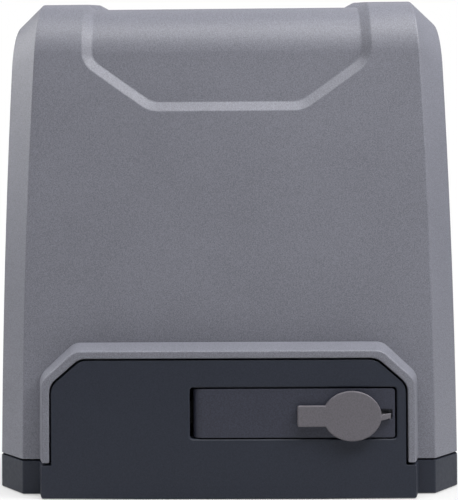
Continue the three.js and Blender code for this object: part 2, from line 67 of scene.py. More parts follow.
# ---- dimensions shared with the CAD model ------------------------------------------------
HEIGHT = COVER_HIGH.z
HALF_WIDTH = BASE_HIGH.x
RIM_FACE = -COVER_LOW.y
BLOCK_FACE = -BASE_LOW.y
FRONT_HALF_WIDTH = 127
HALF_DEPTH = 81
CHAMFER_Y = 53
END_TOP = HEIGHT - 12.5
CREST_RADIUS = 40
END_RADIUS = 34
LEAN = 0.053
SIDE_SWELL, SIDE_CURVE = -0.0015, 8.5e-5     # the sides bow in towards the top
FRONT_SWELL, FRONT_CURVE = 0.0015, 1.07e-4
WALL = 3
TRAY_HEIGHT = 20.4
COVER_BOTTOM = 21.6
FLOOR = 6
FRONT_ARCH = (107.2, 83.4)
REAR_ARCH = (81.0, 127.6)
COVER_SCREW = (0, 11)        # (y, z) of the two screws at the sides
SHAFT = middle_of("output_shaft", "xz")
LOCK = middle_of("lock_barrel", "xz")
MOTOR = middle_of("rotor_core", "xy")
CABLE = middle_of("cable_grommet", "xy")
LIMIT = middle_of("limit_shaft", "xz")


# ---- mesh tools --------------------------------------------------------------------------
def link(mesh, name):
    piece = bpy.data.objects.new(name, mesh)
    bpy.context.scene.collection.objects.link(piece)
    return piece


def make(name, points, faces):
    """A mesh object from points in millimetres and faces, with its faces turned outwards."""
    mesh = bpy.data.meshes.new(name)
    mesh.from_pydata([Vector(p) * MM for p in points], [], faces)
    work = bmesh.new()
    work.from_mesh(mesh)
    bmesh.ops.remove_doubles(work, verts=work.verts, dist=0.003 * MM)
    bmesh.ops.recalc_face_normals(work, faces=work.faces)
    work.to_mesh(mesh)
    work.free()
    return link(mesh, name)


def apply(piece):
    """Bakes the modifiers into the mesh."""
    bpy.context.view_layer.update()
    shaped = piece.evaluated_get(bpy.context.evaluated_depsgraph_get())
    mesh = bpy.data.meshes.new_from_object(shaped)
    piece.modifiers.clear()
    piece.data = mesh
    return piece


def bevel(piece, width, segments=2, angle=35):
    modifier = piece.modifiers.new("bevel", "BEVEL")
    modifier.width = width * MM
    modifier.segments = segments
    modifier.limit_method = "ANGLE"
    modifier.angle_limit = math.radians(angle)
    modifier.harden_normals = False
    return apply(piece)


def boolean(piece, tools, operation):
    """Joins, cuts or keeps what is common, one tool after another. The tools are used up."""
    for tool in tools:
        modifier = piece.modifiers.new("boolean", "BOOLEAN")
        modifier.operation = operation
        modifier.solver = "EXACT"
        modifier.object = tool
        apply(piece)
        bpy.data.objects.remove(tool)
    return piece


def cut(piece, *tools):
    return boolean(piece, tools, "DIFFERENCE")


def join(piece, *tools):
    return boolean(piece, tools, "UNION")


def gather(name, pieces):
    """One object from several, without a boolean."""
    work = bmesh.new()
    for piece in pieces:
        work.from_mesh(piece.data)
        bpy.data.objects.remove(piece)
    mesh = bpy.data.meshes.new(name)
    work.to_mesh(mesh)
    work.free()
    return link(mesh, name)


def spun(piece, axis, angle, place):
    """Turns a piece about the origin and then moves it."""
    piece.data.transform(Matrix.Translation(Vector(place) * MM) @ Matrix.Rotation(angle, 4, axis))
    return piece


def smooth(piece, angle=30):
    for face in piece.data.polygons:
        face.use_smooth = True
    piece.data.set_sharp_from_angle(angle=math.radians(angle))
    weighted = piece.modifiers.new("weighted", "WEIGHTED_NORMAL")
    weighted.keep_sharp = True
    return apply(piece)


def finish_piece(piece, body, slot, material, *nodes, angle=30):
    """Smooths a piece, gives it its material and body, and puts it in the place of CAD nodes. The slot is
    not used.
    """
    smooth(piece, angle)
    piece.data.materials.clear()
    piece.data.materials.append(material)
    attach(piece, body)
    if nodes:
        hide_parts(*nodes)


def loft(name, rings, wrap=False):
    """A skin through rings of equal length, capped, or carried round to the first ring again."""
    count = len(rings[0])
    points = [p for ring in rings for p in ring]
    faces = []
    for k in range(len(rings) if wrap else len(rings) - 1):
        following = (k + 1) % len(rings)
        for i in range(count):
            j = (i + 1) % count
            faces.append((k * count + i, k * count + j, following * count + j, following * count + i))
    if not wrap:
        faces.append(tuple(range(count)))
        faces.append(tuple((len(rings) - 1) * count + i for i in range(count)))
    return make(name, points, faces)


# How a pair and a length along an axis make a point: (y, z) for x, (x, z) for y and (x, y) for z.
PLACE = {"x": lambda a, b, t: (t, a, b), "y": lambda a, b, t: (a, t, b), "z": lambda a, b, t: (a, b, t)}


def prism(name, outline, axis, start, end):
    """An outline of pairs drawn along an axis."""
    return loft(name, [[PLACE[axis](a, b, t) for a, b in outline] for t in (start, end)])


def block(name, x, y, z, width=0.0, segments=2):
    piece = prism(name, [(x[0], y[0]), (x[1], y[0]), (x[1], y[1]), (x[0], y[1])], "z", *z)
    return bevel(piece, width, segments) if width else piece


def around(middle, half):
    return middle - half, middle + half


def circle(centre, radius, count=48, start=0.0):
    return polar_points(centre, [(radius, start + 2 * math.pi * i / count) for i in range(count)])


def polar_points(centre, pairs):
    """Points at each (radius, angle) round a centre."""
    return [(centre[0] + radius * math.cos(t), centre[1] + radius * math.sin(t)) for radius, t in pairs]


def turned(name, axis, centre, profile, count=48, hollow=False):
    """A turned piece: profile is (radius, place along the axis), end to end or round a ring's section."""
    rings = [[PLACE[axis](a, b, t) for a, b in circle(centre, max(radius, 0.02), count)]
             for radius, t in profile]
    return loft(name, rings, wrap=hollow)


def rod(name, axis, centre, radius, start, end, edge=0.3, count=48):
    """A round bar with its ends chamfered."""
    profile = [(radius, start + edge), (radius, end - edge)]
    if edge:
        profile = [(radius - edge, start)] + profile + [(radius - edge, end)]
    return turned(name, axis, centre, profile, count)


def collar(name, axis, centre, outer, inner, start, end, edge=0.4, count=48):
    """A ring with all its edges chamfered."""
    profile = [(inner + edge, start), (outer - edge, start), (outer, start + edge), (outer, end - edge),
               (outer - edge, end), (inner + edge, end), (inner, end - edge), (inner, start + edge)]
    return turned(name, axis, centre, profile, count, hollow=True)


def hexagon(name, axis, centre, across, start, end, turn=0.0):
    """A bolt head: six flats, with its outer corners turned off."""
    head = prism(name, circle(centre, across / math.sqrt(3), 6, turn), axis, start, end)
    profile = [(across * 0.62, start - 1), (across * 0.62, end - across * 0.08), (across * 0.49, end + 0.02),
               (across * 0.3, end + 1)]
    return boolean(head, [turned("cone", axis, centre, profile, 36)], "INTERSECT")


def tube(name, path, radius, sides=10):
    """A round wire along a list of points, closed at both ends."""
    points = [Vector(p) for p in path]
    ahead = [(points[min(i + 1, len(points) - 1)] - points[max(i - 1, 0)]).normalized()
             for i in range(len(points))]
    across = ahead[0].orthogonal().normalized()
    rings = []
    for point, way in zip(points, ahead):
        across = (across - way * across.dot(way)).normalized()
        other = way.cross(across)
        rings.append([point + (across * math.cos(t) + other * math.sin(t)) * radius
                      for t in (2 * math.pi * i / sides for i in range(sides))])
    return loft(name, rings)


def curve_through(points, steps=7):
    """A smooth line through points, by Catmull-Rom."""
    points = [Vector(p) for p in points]
    ends = [points[0] * 2 - points[1]] + points + [points[-1] * 2 - points[-2]]
    line = [points[0]]
    for a, b, c, d in zip(ends, ends[1:], ends[2:], ends[3:]):
        for i in range(1, steps + 1):
            t = i / steps
            line.append(0.5 * (2 * b + (c - a) * t + (2 * a - 5 * b + 4 * c - d) * t * t
                               + (3 * b - a - 3 * c + d) * t ** 3))
    return line


def refined(node, width, segments=2, angle=30):
    """A copy of a CAD node's mesh, with flat faces merged and its edges rounded."""
    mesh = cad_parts[node].data.copy()
    work = bmesh.new()
    work.from_mesh(mesh)
    bmesh.ops.remove_doubles(work, verts=work.verts, dist=0.002 * MM)
    bmesh.ops.dissolve_limit(work, angle_limit=math.radians(1), verts=work.verts, edges=work.edges)
    bmesh.ops.recalc_face_normals(work, faces=work.faces)
    work.to_mesh(mesh)
    work.free()
    return bevel(link(mesh, node + "_fine"), width, segments, angle)


def fillet(before, corner, after, radius, steps):
    """Points of an arc that rounds a corner between two neighbours."""
    before, corner, after = Vector(before), Vector(corner), Vector(after)
    back = (before - corner).normalized()
    ahead = (after - corner).normalized()
    reach = radius / math.tan(back.angle(ahead) / 2)
    first, last = corner + back * reach, corner + ahead * reach
    points = []
    for i in range(steps + 1):
        t = i / steps
        points.append(first * (1 - t) ** 2 + corner * (2 * t * (1 - t)) + last * t * t)
    return points


def rounded(corners, radii, steps=5):
    """A closed outline with every corner rounded."""
    points = []
    for i, corner in enumerate(corners):
        radius = radii[i] if isinstance(radii, (list, tuple)) else radii
        if radius:
            points += fillet(corners[i - 1], corner, corners[(i + 1) % len(corners)], radius, steps)
        else:
            points.append(Vector(corner))
    return [tuple(p) for p in points]


def rectangle(a, b, radius=0.0, steps=5):
    corners = [(a[0], b[0]), (a[1], b[0]), (a[1], b[1]), (a[0], b[1])]
    return rounded(corners, radius, steps) if radius else corners


# ---- shape of the cover ------------------------------------------------------------------
def side_half(z):
    rise = z - COVER_BOTTOM
    return HALF_WIDTH + SIDE_SWELL * rise - SIDE_CURVE * rise * rise


def front_half(z):
    rise = z - COVER_BOTTOM
    return FRONT_HALF_WIDTH + FRONT_SWELL * rise - FRONT_CURVE * rise * rise


class Section:
    """Side view of the cover's front half: a leaning line, a round crest and half of the flat top."""

    def __init__(self, half_depth, top, radius, bottom):
        self.slant = math.hypot(1, LEAN)
        self.radius = radius
        self.centre_z = top - radius
        self.centre_y = -half_depth + LEAN * (self.centre_z - COVER_BOTTOM) + radius * self.slant
        self.start = math.pi - math.atan(LEAN)
        self.foot = Vector((-half_depth + LEAN * (bottom - COVER_BOTTOM), bottom))
        self.knee = Vector((self.centre_y + radius * math.cos(self.start),
                            self.centre_z + radius * math.sin(self.start)))
        self.line = (self.knee - self.foot).length
        self.arc = radius * (self.start - QUARTER)
        self.total = self.line + self.arc - self.centre_y

    def at(self, s):
        """Point and outward normal (y, z) at a length s along the section."""
        if s <= self.line:
            normal = Vector((-1, LEAN)) / self.slant
            return self.foot.lerp(self.knee, s / self.line), normal
        if s <= self.line + self.arc:
            angle = self.start - (s - self.line) / self.radius
            normal = Vector((math.cos(angle), math.sin(angle)))
            return Vector((self.centre_y, self.centre_z)) + normal * self.radius, normal
        y = self.centre_y + (s - self.line - self.arc)
        return Vector((y, self.centre_z + self.radius)), Vector((0, 1))

    def samples(self, arc_steps, line_steps=10):
        """Lengths up the front, round the crest and on the top."""
        lengths = [self.line * i / line_steps for i in range(line_steps + 1)]
        lengths += [self.line + self.arc * (i + 1) / arc_steps for i in range(arc_steps)]
        return lengths + [self.total]


FACE = Section(HALF_DEPTH, HEIGHT - 0.85, CREST_RADIUS, COVER_BOTTOM)
END = Section(CHAMFER_Y, END_TOP, END_RADIUS, COVER_BOTTOM)
ARC_STEPS = 28
FACE_EDGE = 1.5      # radius between the front and the chamfers
END_EDGE = 4.0       # radius between the chamfers and the sides
EDGE_STEPS = 4

RECESS_DEPTH = 4.0
CREST_RELIEF = 0.6   # the recess is shallower by this much over the crest
RECESS_SLOPE = 6.1   # width of the sloping band round the recess
RECESS_BLEND = 0.6


def recess_corners():
    """Corners of the recess outline as (x, s), with the radius of each."""
    low = (237.0 - COVER_BOTTOM) * FACE.slant
    shoulder = (267.2 - COVER_BOTTOM) * FACE.slant
    crest = FACE.line + FACE.arc
    half = [(48.4, low, 19), (90.8, shoulder, 17), (90.8, crest - 6.5, 4), (82.6, crest - 1.5, 2),
            (82.6, crest + 21, 9)]
    whole = half + [(-x, s, radius) for x, s, radius in reversed(half)]
    return [Vector((x, s)) for x, s, _ in whole], [radius for _, _, radius in whole]


def inset_polygon(corners, distance):
    moved = []
    for i, b in enumerate(corners):
        a, c = corners[i - 1], corners[(i + 1) % len(corners)]
        first, second = (b - a).normalized(), (c - b).normalized()
        n1, n2 = Vector((-first.y, first.x)), Vector((-second.y, second.x))
        moved.append(b + (n1 + n2) * distance / (1 + n1.dot(n2)))
    return moved


def recess_loop(distance, steps=8):
    """The rounded outline of the recess, moved inwards by a distance."""
    corners, radii = recess_corners()
    turned_radii = []
    for i, radius in enumerate(radii):
        a, b, c = corners[i - 1], corners[i], corners[(i + 1) % len(corners)]
        convex = (b - a).cross(c - b) > 0
        turned_radii.append(max(0.8, radius - distance) if convex else max(0.8, radius + distance))
    return [Vector(p) for p in rounded(inset_polygon(corners, distance), turned_radii, steps)]


RECESS = recess_loop(0)


def recess_distance(x, s):
    """How far a point lies inside the recess outline, negative outside."""
    p = Vector((x, s))
    nearest = 1e9
    inside = False
    for i, b in enumerate(RECESS):
        a = RECESS[i - 1]
        edge = b - a
        t = max(0.0, min(1.0, (p - a).dot(edge) / edge.length_squared))
        nearest = min(nearest, (p - a - edge * t).length)
        if (a.y > s) != (b.y > s) and x < a.x + edge.x * (s - a.y) / edge.y:
            inside = not inside
    return nearest if inside else -nearest


def ramp(d, blend):
    """Rises from 0 at d = 0 with slope 1, rounded over the blend."""
    if d <= -blend:
        return 0.0
    return d if d >= blend else (d + blend) ** 2 / (4 * blend)


def recess_depth(x, s):
    d = recess_distance(x, s)
    full = RECESS_DEPTH - CREST_RELIEF * max(0.0, min(1.0, (s - FACE.line) / FACE.arc))
    return full / RECESS_SLOPE * (ramp(d, RECESS_BLEND) - ramp(d - RECESS_SLOPE, RECESS_BLEND))


def section_row(s_face, s_end, sign):
    """The left and right ends of a row of points across the cover, in front or behind by sign."""
    (fy, fz), _ = FACE.at(s_face)
    (ey, ez), (ny, nz) = END.at(s_end)
    front = Vector((-front_half(fz), sign * fy, fz))
    corner = Vector((-side_half(ez), sign * ey, ez))
    inward = Vector((0, -sign * ny, -nz)) * 10
    left = fillet(corner + inward, corner, front, END_EDGE, EDGE_STEPS)
    left += fillet(corner, front, front + Vector((10, 0, 0)), FACE_EDGE, EDGE_STEPS)
    right = [Vector((-p.x, p.y, p.z)) for p in reversed(left)]
    return left, right


def cover_skin():
    """The outer body of the cover as one closed mesh, with the recess worked into its front and top."""
    points, faces = [], []

    def add(p):
        points.append(p)
        return len(points) - 1

    s_face, s_end = FACE.samples(ARC_STEPS), END.samples(ARC_STEPS)
    rows, rear = [[section_row(a, b, sign) for a, b in zip(s_face, s_end)] for sign in (1, -1)]
    rear = rear[::-1]
    indexed = [([add(p) for p in left], [add(p) for p in right]) for left, right in rows + rear]
    for (l0, r0), (l1, r1) in zip(indexed, indexed[1:]):
        for strip0, strip1 in ((l0, l1), (r0, r1)):
            for i in range(len(strip0) - 1):
                faces.append((strip0[i], strip0[i + 1], strip1[i + 1], strip1[i]))
    for (l0, r0), (l1, r1) in zip(indexed[len(rows):], indexed[len(rows) + 1:]):
        faces.append((l0[-1], r0[0], r1[0], l1[-1]))
    faces.append([left[0] for left, _ in indexed])
    faces.append([right[-1] for _, right in indexed])
    faces.append(indexed[0][0] + indexed[0][1] + indexed[-1][1][::-1] + indexed[-1][0][::-1])

    flat = [Vector((left[-1].x, s)) for (left, _), s in zip(rows, s_face)]
    flat += [Vector((right[0].x, s)) for (_, right), s in zip(rows[::-1], s_face[::-1])]
    edge_count = len(flat)
    edges = [(i, edge_count - 1 - i) for i in range(1, len(rows) - 1)]
    for distance in (-RECESS_BLEND, 0, RECESS_BLEND, RECESS_SLOPE / 2, RECESS_SLOPE - RECESS_BLEND,
                     RECESS_SLOPE, RECESS_SLOPE + RECESS_BLEND):
        first, loop = len(flat), recess_loop(distance)
        flat += loop
        edges += [(first + i, first + (i + 1) % len(loop)) for i in range(len(loop))]
    outline = [list(range(edge_count))[::-1]]
    verts, _, triangles, *_ = delaunay_2d_cdt(flat, edges, outline, 1, 1e-6)
    placed = []
    for x, s in verts:
        (y, z), (ny, nz) = FACE.at(s)
        depth = recess_depth(x, s)
        placed.append(add(Vector((x, y - ny * depth, z - nz * depth))))
    faces += [tuple(placed[i] for i in t) for t in triangles]
    return make("cover_body", points, faces)


def cover_core(inset):
    """The hollow of the cover as a closed mesh."""
    face = Section(HALF_DEPTH - inset, HEIGHT - inset, CREST_RADIUS - inset, COVER_BOTTOM - 5)
    end = Section(CHAMFER_Y - inset * 0.6, END_TOP - inset * 0.6, END_RADIUS - inset, COVER_BOTTOM - 5)
    rings = [[], [], [], []]
    for section, half, ring_numbers in ((end, side_half, (0, 3)), (face, front_half, (1, 2))):
        front = [section.at(s)[0] for s in section.samples(10)[:-1]]
        whole = [(y, z) for y, z in front] + [(-y, z) for y, z in reversed(front)]
        for number in ring_numbers:
            sign = -1 if number < 2 else 1
            rings[number] = [(sign * (half(z) - inset), y, z) for y, z in whole]
    return loft("cover_hollow", rings)


# ---- arches ------------------------------------------------------------------------------
ARCH_CORNER = 10.5


def arch(size, offset=0.0, bottom=0.0, spread=0.0):
    """An arch outline as (x, z), from the right foot over the top to the left foot."""
    half, top = size[0] + offset, size[1] + offset * 1.05
    cut_x, cut_z = 18 + offset * 0.33, 15.5 + offset * 0.45
    foot = Vector((half + spread, bottom))
    low, high = Vector((half, top - cut_z)), Vector((half - cut_x, top))
    right = [foot]
    right += fillet(foot, low, high, ARCH_CORNER, 6)
    right += fillet(low, high, Vector((0, top)), ARCH_CORNER, 6)
    return [tuple(p) for p in right] + [(-x, z) for x, z in reversed(right)]


def cover_front(z):
    return -HALF_DEPTH + LEAN * (z - COVER_BOTTOM)


RIM_GAP = 1.1        # between the rim and the dark panel inside it
RIM_RIDGE = 5.6      # from the panel to the bright ridge
RIM_ROOT = 9.2       # from the panel to where the rim leaves the cover


def rim(size, side):
    """The raised rim round an arch, a closed section carried along the arch."""
    lip, ridge = 0.45, 1.1
    stations = [(RIM_ROOT, "inside"), (RIM_ROOT, "face"), (RIM_ROOT - 0.4, -HALF_DEPTH - 1.2)]
    for angle in (math.radians(10 + 16 * i) for i in range(6)):
        across, back = 1 - math.cos(angle), 1 - math.sin(angle)
        stations.append((RIM_RIDGE - ridge * across, -RIM_FACE + ridge * back))
    stations += [(RIM_GAP + lip + 0.2, -RIM_FACE), (RIM_GAP + lip * 0.3, -RIM_FACE + lip * 0.3),
                 (RIM_GAP, -RIM_FACE + lip + 0.2), (RIM_GAP - 0.05, -HALF_DEPTH + 12)]
    rings = []
    for offset, place in stations:
        ring = []
        for x, z in arch(size, offset, COVER_BOTTOM, 0.2):
            y = {"inside": cover_front(z) + 1.5, "face": cover_front(z)}.get(place, place)
            foot = z <= COVER_BOTTOM and y < -HALF_DEPTH - 0.5
            ring.append((x, -side * y, z - 1.2 if foot else z))
        rings.append(ring)
    return bevel(loft("rim", list(zip(*rings))), 0.6, 3, 60)


def hollow():
    """The space inside the cover, leaving a thicker wall behind the recess."""
    thick = cut(block("thick", (-99, 99), (-95, 8), (228, 320)), cover_core(WALL + RECESS_DEPTH))
    return cut(cover_core(WALL), thick)


def top_cover():
    cover = cut(cover_skin(), hollow())
    for size, side in ((FRONT_ARCH, -1), (REAR_ARCH, 1)):
        near, far = sorted((side * 60, side * 110))
        cut(cover, prism("hole", arch(size, 3.5, 10), "y", near, far))
        join(cover, rim(size, side))
    for side in (-1, 1):
        near, far = sorted((side * 132.8, side * 135.8))
        low, high = sorted((side * 135.3, side * 143))
        tab = block("tab", (near, far), (-8, 8), (8, 40), 0.4)
        join(tab, block("web", (low, high), (-8, 8), (26, 40), 0.4))
        outline = [(-2.7, 5), (2.7, 5), (2.7, 11), (1.9, 12.9), (0, 13.7), (-1.9, 12.9), (-2.7, 11)]
        join(cover, cut(tab, prism("slot", outline, "x", near - 3, far + 3)))
    cover.name = "cover_shell"
    return cover


# ---- base --------------------------------------------------------------------------------
POCKET_LEFT, POCKET_RIGHT = SHAFT[0] - 7.9, 101.7
POCKET = ((POCKET_LEFT, POCKET_RIGHT), (35.8, 66.95))
CABLE_RADIUS = 14
ANCHOR = (124, 42)
PIVOT_Y = -91


def tray_plan(inset, radius=0.0):
    """Eight-sided plan of the tray, moved in by inset."""
    x, y = HALF_WIDTH - inset, HALF_DEPTH - inset
    cx, cy = FRONT_HALF_WIDTH - inset * 0.6, CHAMFER_Y - inset * 0.6
    corners = [(x, -cy), (x, cy), (cx, y), (-cx, y), (-x, cy), (-x, -cy), (-cx, -y), (cx, -y)]
    return rounded(corners, radius, 4) if radius else corners


def front_block(size, foot, side):
    """A block that stands out of the tray: a wide foot with a cover-high arched panel on it."""
    foot_top = 20.0
    rings = []
    for y, half in ((BLOCK_FACE, foot), (HALF_DEPTH - 2, foot + 3.8)):
        corners = [(half, 0), (half, foot_top)]
        right = fillet((0, 0), corners[0], corners[1], 1.2, 3)
        right += fillet(corners[0], corners[1], (0, foot_top), 0.8, 3)
        right = [tuple(p) for p in right] + [(size[0] + 0.3, foot_top)]
        panel = arch(size, 0, foot_top + 0.3)
        left = [(-x, z) for x, z in reversed(right)]
        rings.append([(x, side * y, z) for x, z in right + panel + left])
    body = bevel(loft("front_block", rings), 0.7, 3, 50)
    near, far = sorted((side * 60.5, side * (HALF_DEPTH - 1)))
    return join(body, prism("panel", arch(size), "y", near, far))


def flared(name, outline, place, depth, flare, side):
    """A cutter for a pocket whose mouth opens out: outline(grow) gives the pairs."""
    stations = [(flare * 1.6, place - 1.0), (flare, place), (flare * 0.12, place + flare * 0.55),
                (0, place + flare), (0, depth)]
    return loft(name, [[(a, -side * y, b) for a, b in outline(grow)] for grow, y in stations])


def lever_pocket(grow):
    (x0, x1), (z0, z1) = POCKET
    return rectangle((x0 - grow, x1 + grow), (z0 - grow, z1 + grow), 2.4 + grow, 5)


def base_housing():
    tray = prism("tray", tray_plan(0, 1.6), "z", 0, TRAY_HEIGHT)
    base = cut(bevel(tray, 0.5, 2, 60), prism("inside", tray_plan(3.5, 1.0), "z", FLOOR, TRAY_HEIGHT + 1))
    join(base, front_block(FRONT_ARCH, 113.2, -1), front_block(REAR_ARCH, 87, 1))
    rear_room = block("rear_room", (-74, 74), (59, 90), (8, 119), 3)
    cut(rear_room, rod("seat", "y", SHAFT, 27, 58, 91, 0), rod("seat", "y", LIMIT, 9, 58, 91, 0))
    slot = [(ANCHOR[0] - 5.5, ANCHOR[0] + 5.5), (ANCHOR[1] - 10.5, ANCHOR[1] + 10.5)]
    cut(base, rear_room,
        block("left_room", (-103, -40), (-93, -61), (8, 66), 3),
        flared("pocket", lever_pocket, -BLOCK_FACE, -66, 0.8, -1),
        block("arm_pocket", (-34, -20), (-93, -66), (42, 60)),
        rod("hole", "y", SHAFT, 4.3, -70, -60, 0, 24),
        rod("hole", "y", SHAFT, 21.3, 59, 88.5, 0, 64), rod("hole", "y", SHAFT, 16.3, 88, 98, 0, 48),
        rod("hole", "y", LIMIT, 4.4, 59, 98, 0, 24),
        rod("hole", "z", (SHAFT[0], PIVOT_Y), 2.9, 28, 73, 0, 20),
        rod("hole", "z", CABLE, CABLE_RADIUS, -1, FLOOR + 1, 0, 40))
    for sx in (-1, 1):
        for sy in (-1, 1):
            across, along = [sorted((sign * low, sign * high)) for sign, (low, high) in zip((sx, sy), slot)]
            cut(base, prism("slot", rectangle(across, along, 5.49, 6), "z", -1, FLOOR + 1))
    for side in (-1, 1):
        boss = block("boss", sorted((side * 136.5, side * 144)), (-9, 9), (5, TRAY_HEIGHT), 0.5)
        join(base, boss)
        cut(base, rod("hole", "x", COVER_SCREW, 2.4, *sorted((side * 133, side * 144)), 0, 20),
            rod("sink", "x", COVER_SCREW, 4.9, *sorted((side * 142, side * 146)), 0, 32))
    base.name = "base_body"
    return base


# ---- lever, lock and cap -----------------------------------------------------------------
LEVER_LOW, LEVER_HIGH = box_mm("release_lever")
LEVER_RADIUS = 6             # of the hinge end
STRAP_SLOT = ((92.0, 98.9), (47.7, 53.6))


def strap_slot(grow):
    (x0, x1), (z0, z1) = STRAP_SLOT
    return rectangle((x0 - grow, x1 + grow), (z0 - grow, z1 + grow), 1.0 + grow, 4)


def release_lever():
    back = -85
    end = [(SHAFT[0] + LEVER_RADIUS * math.cos(t), PIVOT_Y + LEVER_RADIUS * math.sin(t))
           for t in (math.radians(90 + 15 * i) for i in range(13))]
    right, height = LEVER_HIGH.x, (LEVER_LOW.z, LEVER_HIGH.z)
    plate = prism("plate", [(right, back)] + end + [(right, -BLOCK_FACE)], "z", *height)
    face = rectangle((SHAFT[0] - LEVER_RADIUS - 0.01, right), height, 1.9, 5)
    lever = boolean(plate, [prism("face", face, "y", -99, -84)], "INTERSECT")
    bevel(lever, 1.1, 4, 40)
    join(lever, rod("seat", "y", LOCK, 13, -86, -72, 0.6))
    cut(lever, rod("hole", "z", (SHAFT[0], PIVOT_Y), 2.9, 30, 75, 0, 24),
        rod("bore", "y", LOCK, 9, -98, -71, 0),
        turned("sink", "y", LOCK, [(11.9, -98), (11.6, -BLOCK_FACE), (11.3, -96.7), (11.3, -95.4)], 64),
        flared("slot", strap_slot, -BLOCK_FACE, -94.6, 0.35, -1))
    lever.name = "lever_plate"
    return lever


def lever_arm():
    """The cam behind the lever that pushes the rod, coloured black as painted shade for the deep gap at the
    lever's hinge end.
    """
    arm = block("arm", (SHAFT[0] - 12, SHAFT[0] - 0.5), (-87.2, -85.1), (44, 58.6), 0.5)
    return join(arm, rod("nose", "z", (SHAFT[0] - 12.8, -88.75), 2.7, 44, 58.6, 0.3, 24))


CAP_LOW = box_mm("key_cap")[0]
CAP_HALF = (17.6, 15.0)      # half axes of the oval
TAB_HALF = 6.3
STRAP_HALF = 1.75


def cap_outline(grow):
    """Oval with a pull tab at the left and the root of the strap at the right, as (x, z)."""
    def on_oval(angle):
        return Vector((LOCK[0] + (CAP_HALF[0] + grow) * math.cos(angle),
                       LOCK[1] + (CAP_HALF[1] + grow) * math.sin(angle)))
    tab = math.asin((TAB_HALF + grow) / (CAP_HALF[1] + grow))
    root = math.asin((STRAP_HALF + grow) / (CAP_HALF[1] + grow))
    upper = [on_oval(root + (math.pi - tab - root) * i / 30) for i in range(31)]
    lower = [on_oval(math.pi + tab + (math.pi - tab - root) * i / 30) for i in range(31)]
    left, high, low = CAP_LOW.x - grow, LOCK[1] + TAB_HALF + grow, LOCK[1] - TAB_HALF - grow
    points = list(upper[:-1])
    points += fillet(upper[-2], upper[-1], (left, upper[-1].y), 0.9, 4)
    points += fillet(upper[-1], (left, high), (left, LOCK[1]), 1.3 + grow, 5)
    points += fillet((left, LOCK[1]), (left, low), lower[0], 1.3 + grow, 5)
    points += fillet((left, lower[0].y), lower[0], lower[1], 0.9, 4)
    return points + list(lower[1:])


def key_cap():
    face, back, edge = CAP_LOW.y, -97.4, 0.7
    stations = [(-edge * 1.3, face)]
    stations += [(-edge * (1 - math.sin(t)), face + edge * (1 - math.cos(t))) for t in
                 (math.radians(15 * i) for i in range(1, 7))]
    stations += [(0, back - 0.35), (-0.35, back)]
    cap = loft("cap", [[(x, y, z) for x, z in cap_outline(grow)] for grow, y in stations])
    sections = []
    for t in (i / 12 for i in range(13)):
        x = LOCK[0] + CAP_HALF[0] - 1.2 + t * 7.0
        deep = 3.1 * t * t * (3 - 2 * t)
        thick, half = 2.4 - 1.0 * t, STRAP_HALF - 0.2 * t
        middle = (face + 1.7 + deep * 0.45, LOCK[1] + 1.05 * t - 1.15)
        sections.append([(x, middle[0] + a, middle[1] + b)
                         for a, b in rectangle((-thick / 2, thick / 2), (-half, half), 0.45, 3)])
    join(cap, loft("strap", sections))
    cap.name = "key_cap_rubber"
    return cap


def cap_plug():
    """The plug of the cap's strap, held in the lever."""
    (x0, x1), (z0, _) = STRAP_SLOT
    return block("strap_plug", (x0 + 0.4, x1 - 1.2), (-95.9, -94.7), (z0 + 0.4, z0 + 3.4), 0.5)


def lock_bezel():
    profile = [(9.1, -95.75), (9.1, -96.7), (9.5, -97.0), (10.4, -96.9), (11.0, -96.2), (11.1, -95.75)]
    return turned("lock_ring", "y", LOCK, profile, 64, hollow=True)


def lock_barrel():
    back = box_mm("lock_barrel")[1].y
    profile = [(8.1, back), (8.7, back - 0.6), (8.7, -95.9), (8.45, -96.3), (7.9, -96.55), (4.2, -96.55),
               (3.7, -96.1)]
    barrel = turned("lock_cylinder", "y", LOCK, profile, 64)
    key = rectangle((LOCK[0] - 0.8, LOCK[0] + 0.8), (LOCK[1] - 4.4, LOCK[1] + 4.4), 0.3, 2)
    ward = rectangle((LOCK[0] - 1.9, LOCK[0] + 0.5), (LOCK[1] - 0.4, LOCK[1] + 0.9), 0.2, 2)
    return cut(barrel, prism("keyway", key, "y", -98, -84), prism("ward", ward, "y", -98, -84))


# ---- output drive and limit lever ---------------------------------------------------------
TEETH, MODULE = 16, 4        # of the pinion
WHEEL_TEETH = 28


def drive_pinion():
    """A spur gear whose tooth flanks curve as they would from a hob, with a turned face and a bore."""
    low, high = box_mm("drive_pinion")
    flank = [(-1.22, 1.18), (-0.9, 1.0), (-0.45, 0.93), (0, 0.785), (0.35, 0.62), (0.7, 0.43), (1, 0.27)]
    flank = [((TEETH / 2 + out) * MODULE, half * MODULE) for out, half in flank]
    outline = []
    for i in range(TEETH):
        middle = 2 * math.pi * i / TEETH
        outline += [(radius, middle - half / radius) for radius, half in flank]
        outline += [(radius, middle + half / radius) for radius, half in reversed(flank)]
    points = polar_points(SHAFT, outline)
    pinion = bevel(prism("pinion_gear", points, "y", low.y, high.y), 0.6, 2, 50)
    return cut(pinion, rod("bore", "y", SHAFT, 11.4, low.y - 1, high.y + 1, 0, 64),
               collar("face", "y", SHAFT, 24.5, 17.5, high.y - 0.8, high.y + 1, 0.3, 64))


def output_shaft():
    low, high = box_mm("output_shaft")
    front, back = low.y, high.y
    profile = [(9.4, front), (10, front + 0.6), (10, -9.4), (11, -9), (11, back - 1), (10, back)]
    shaft = turned("main_shaft", "y", SHAFT, profile, 64)
    return cut(shaft, rod("bore", "y", SHAFT, 4.3, front - 2, 26, 0, 32),
               block("slot", around(SHAFT[0], 12), (11, 27), around(SHAFT[1], 2.9), 0.5),
               rod("tapping", "y", SHAFT, 3.3, 108, back + 1, 0, 24))


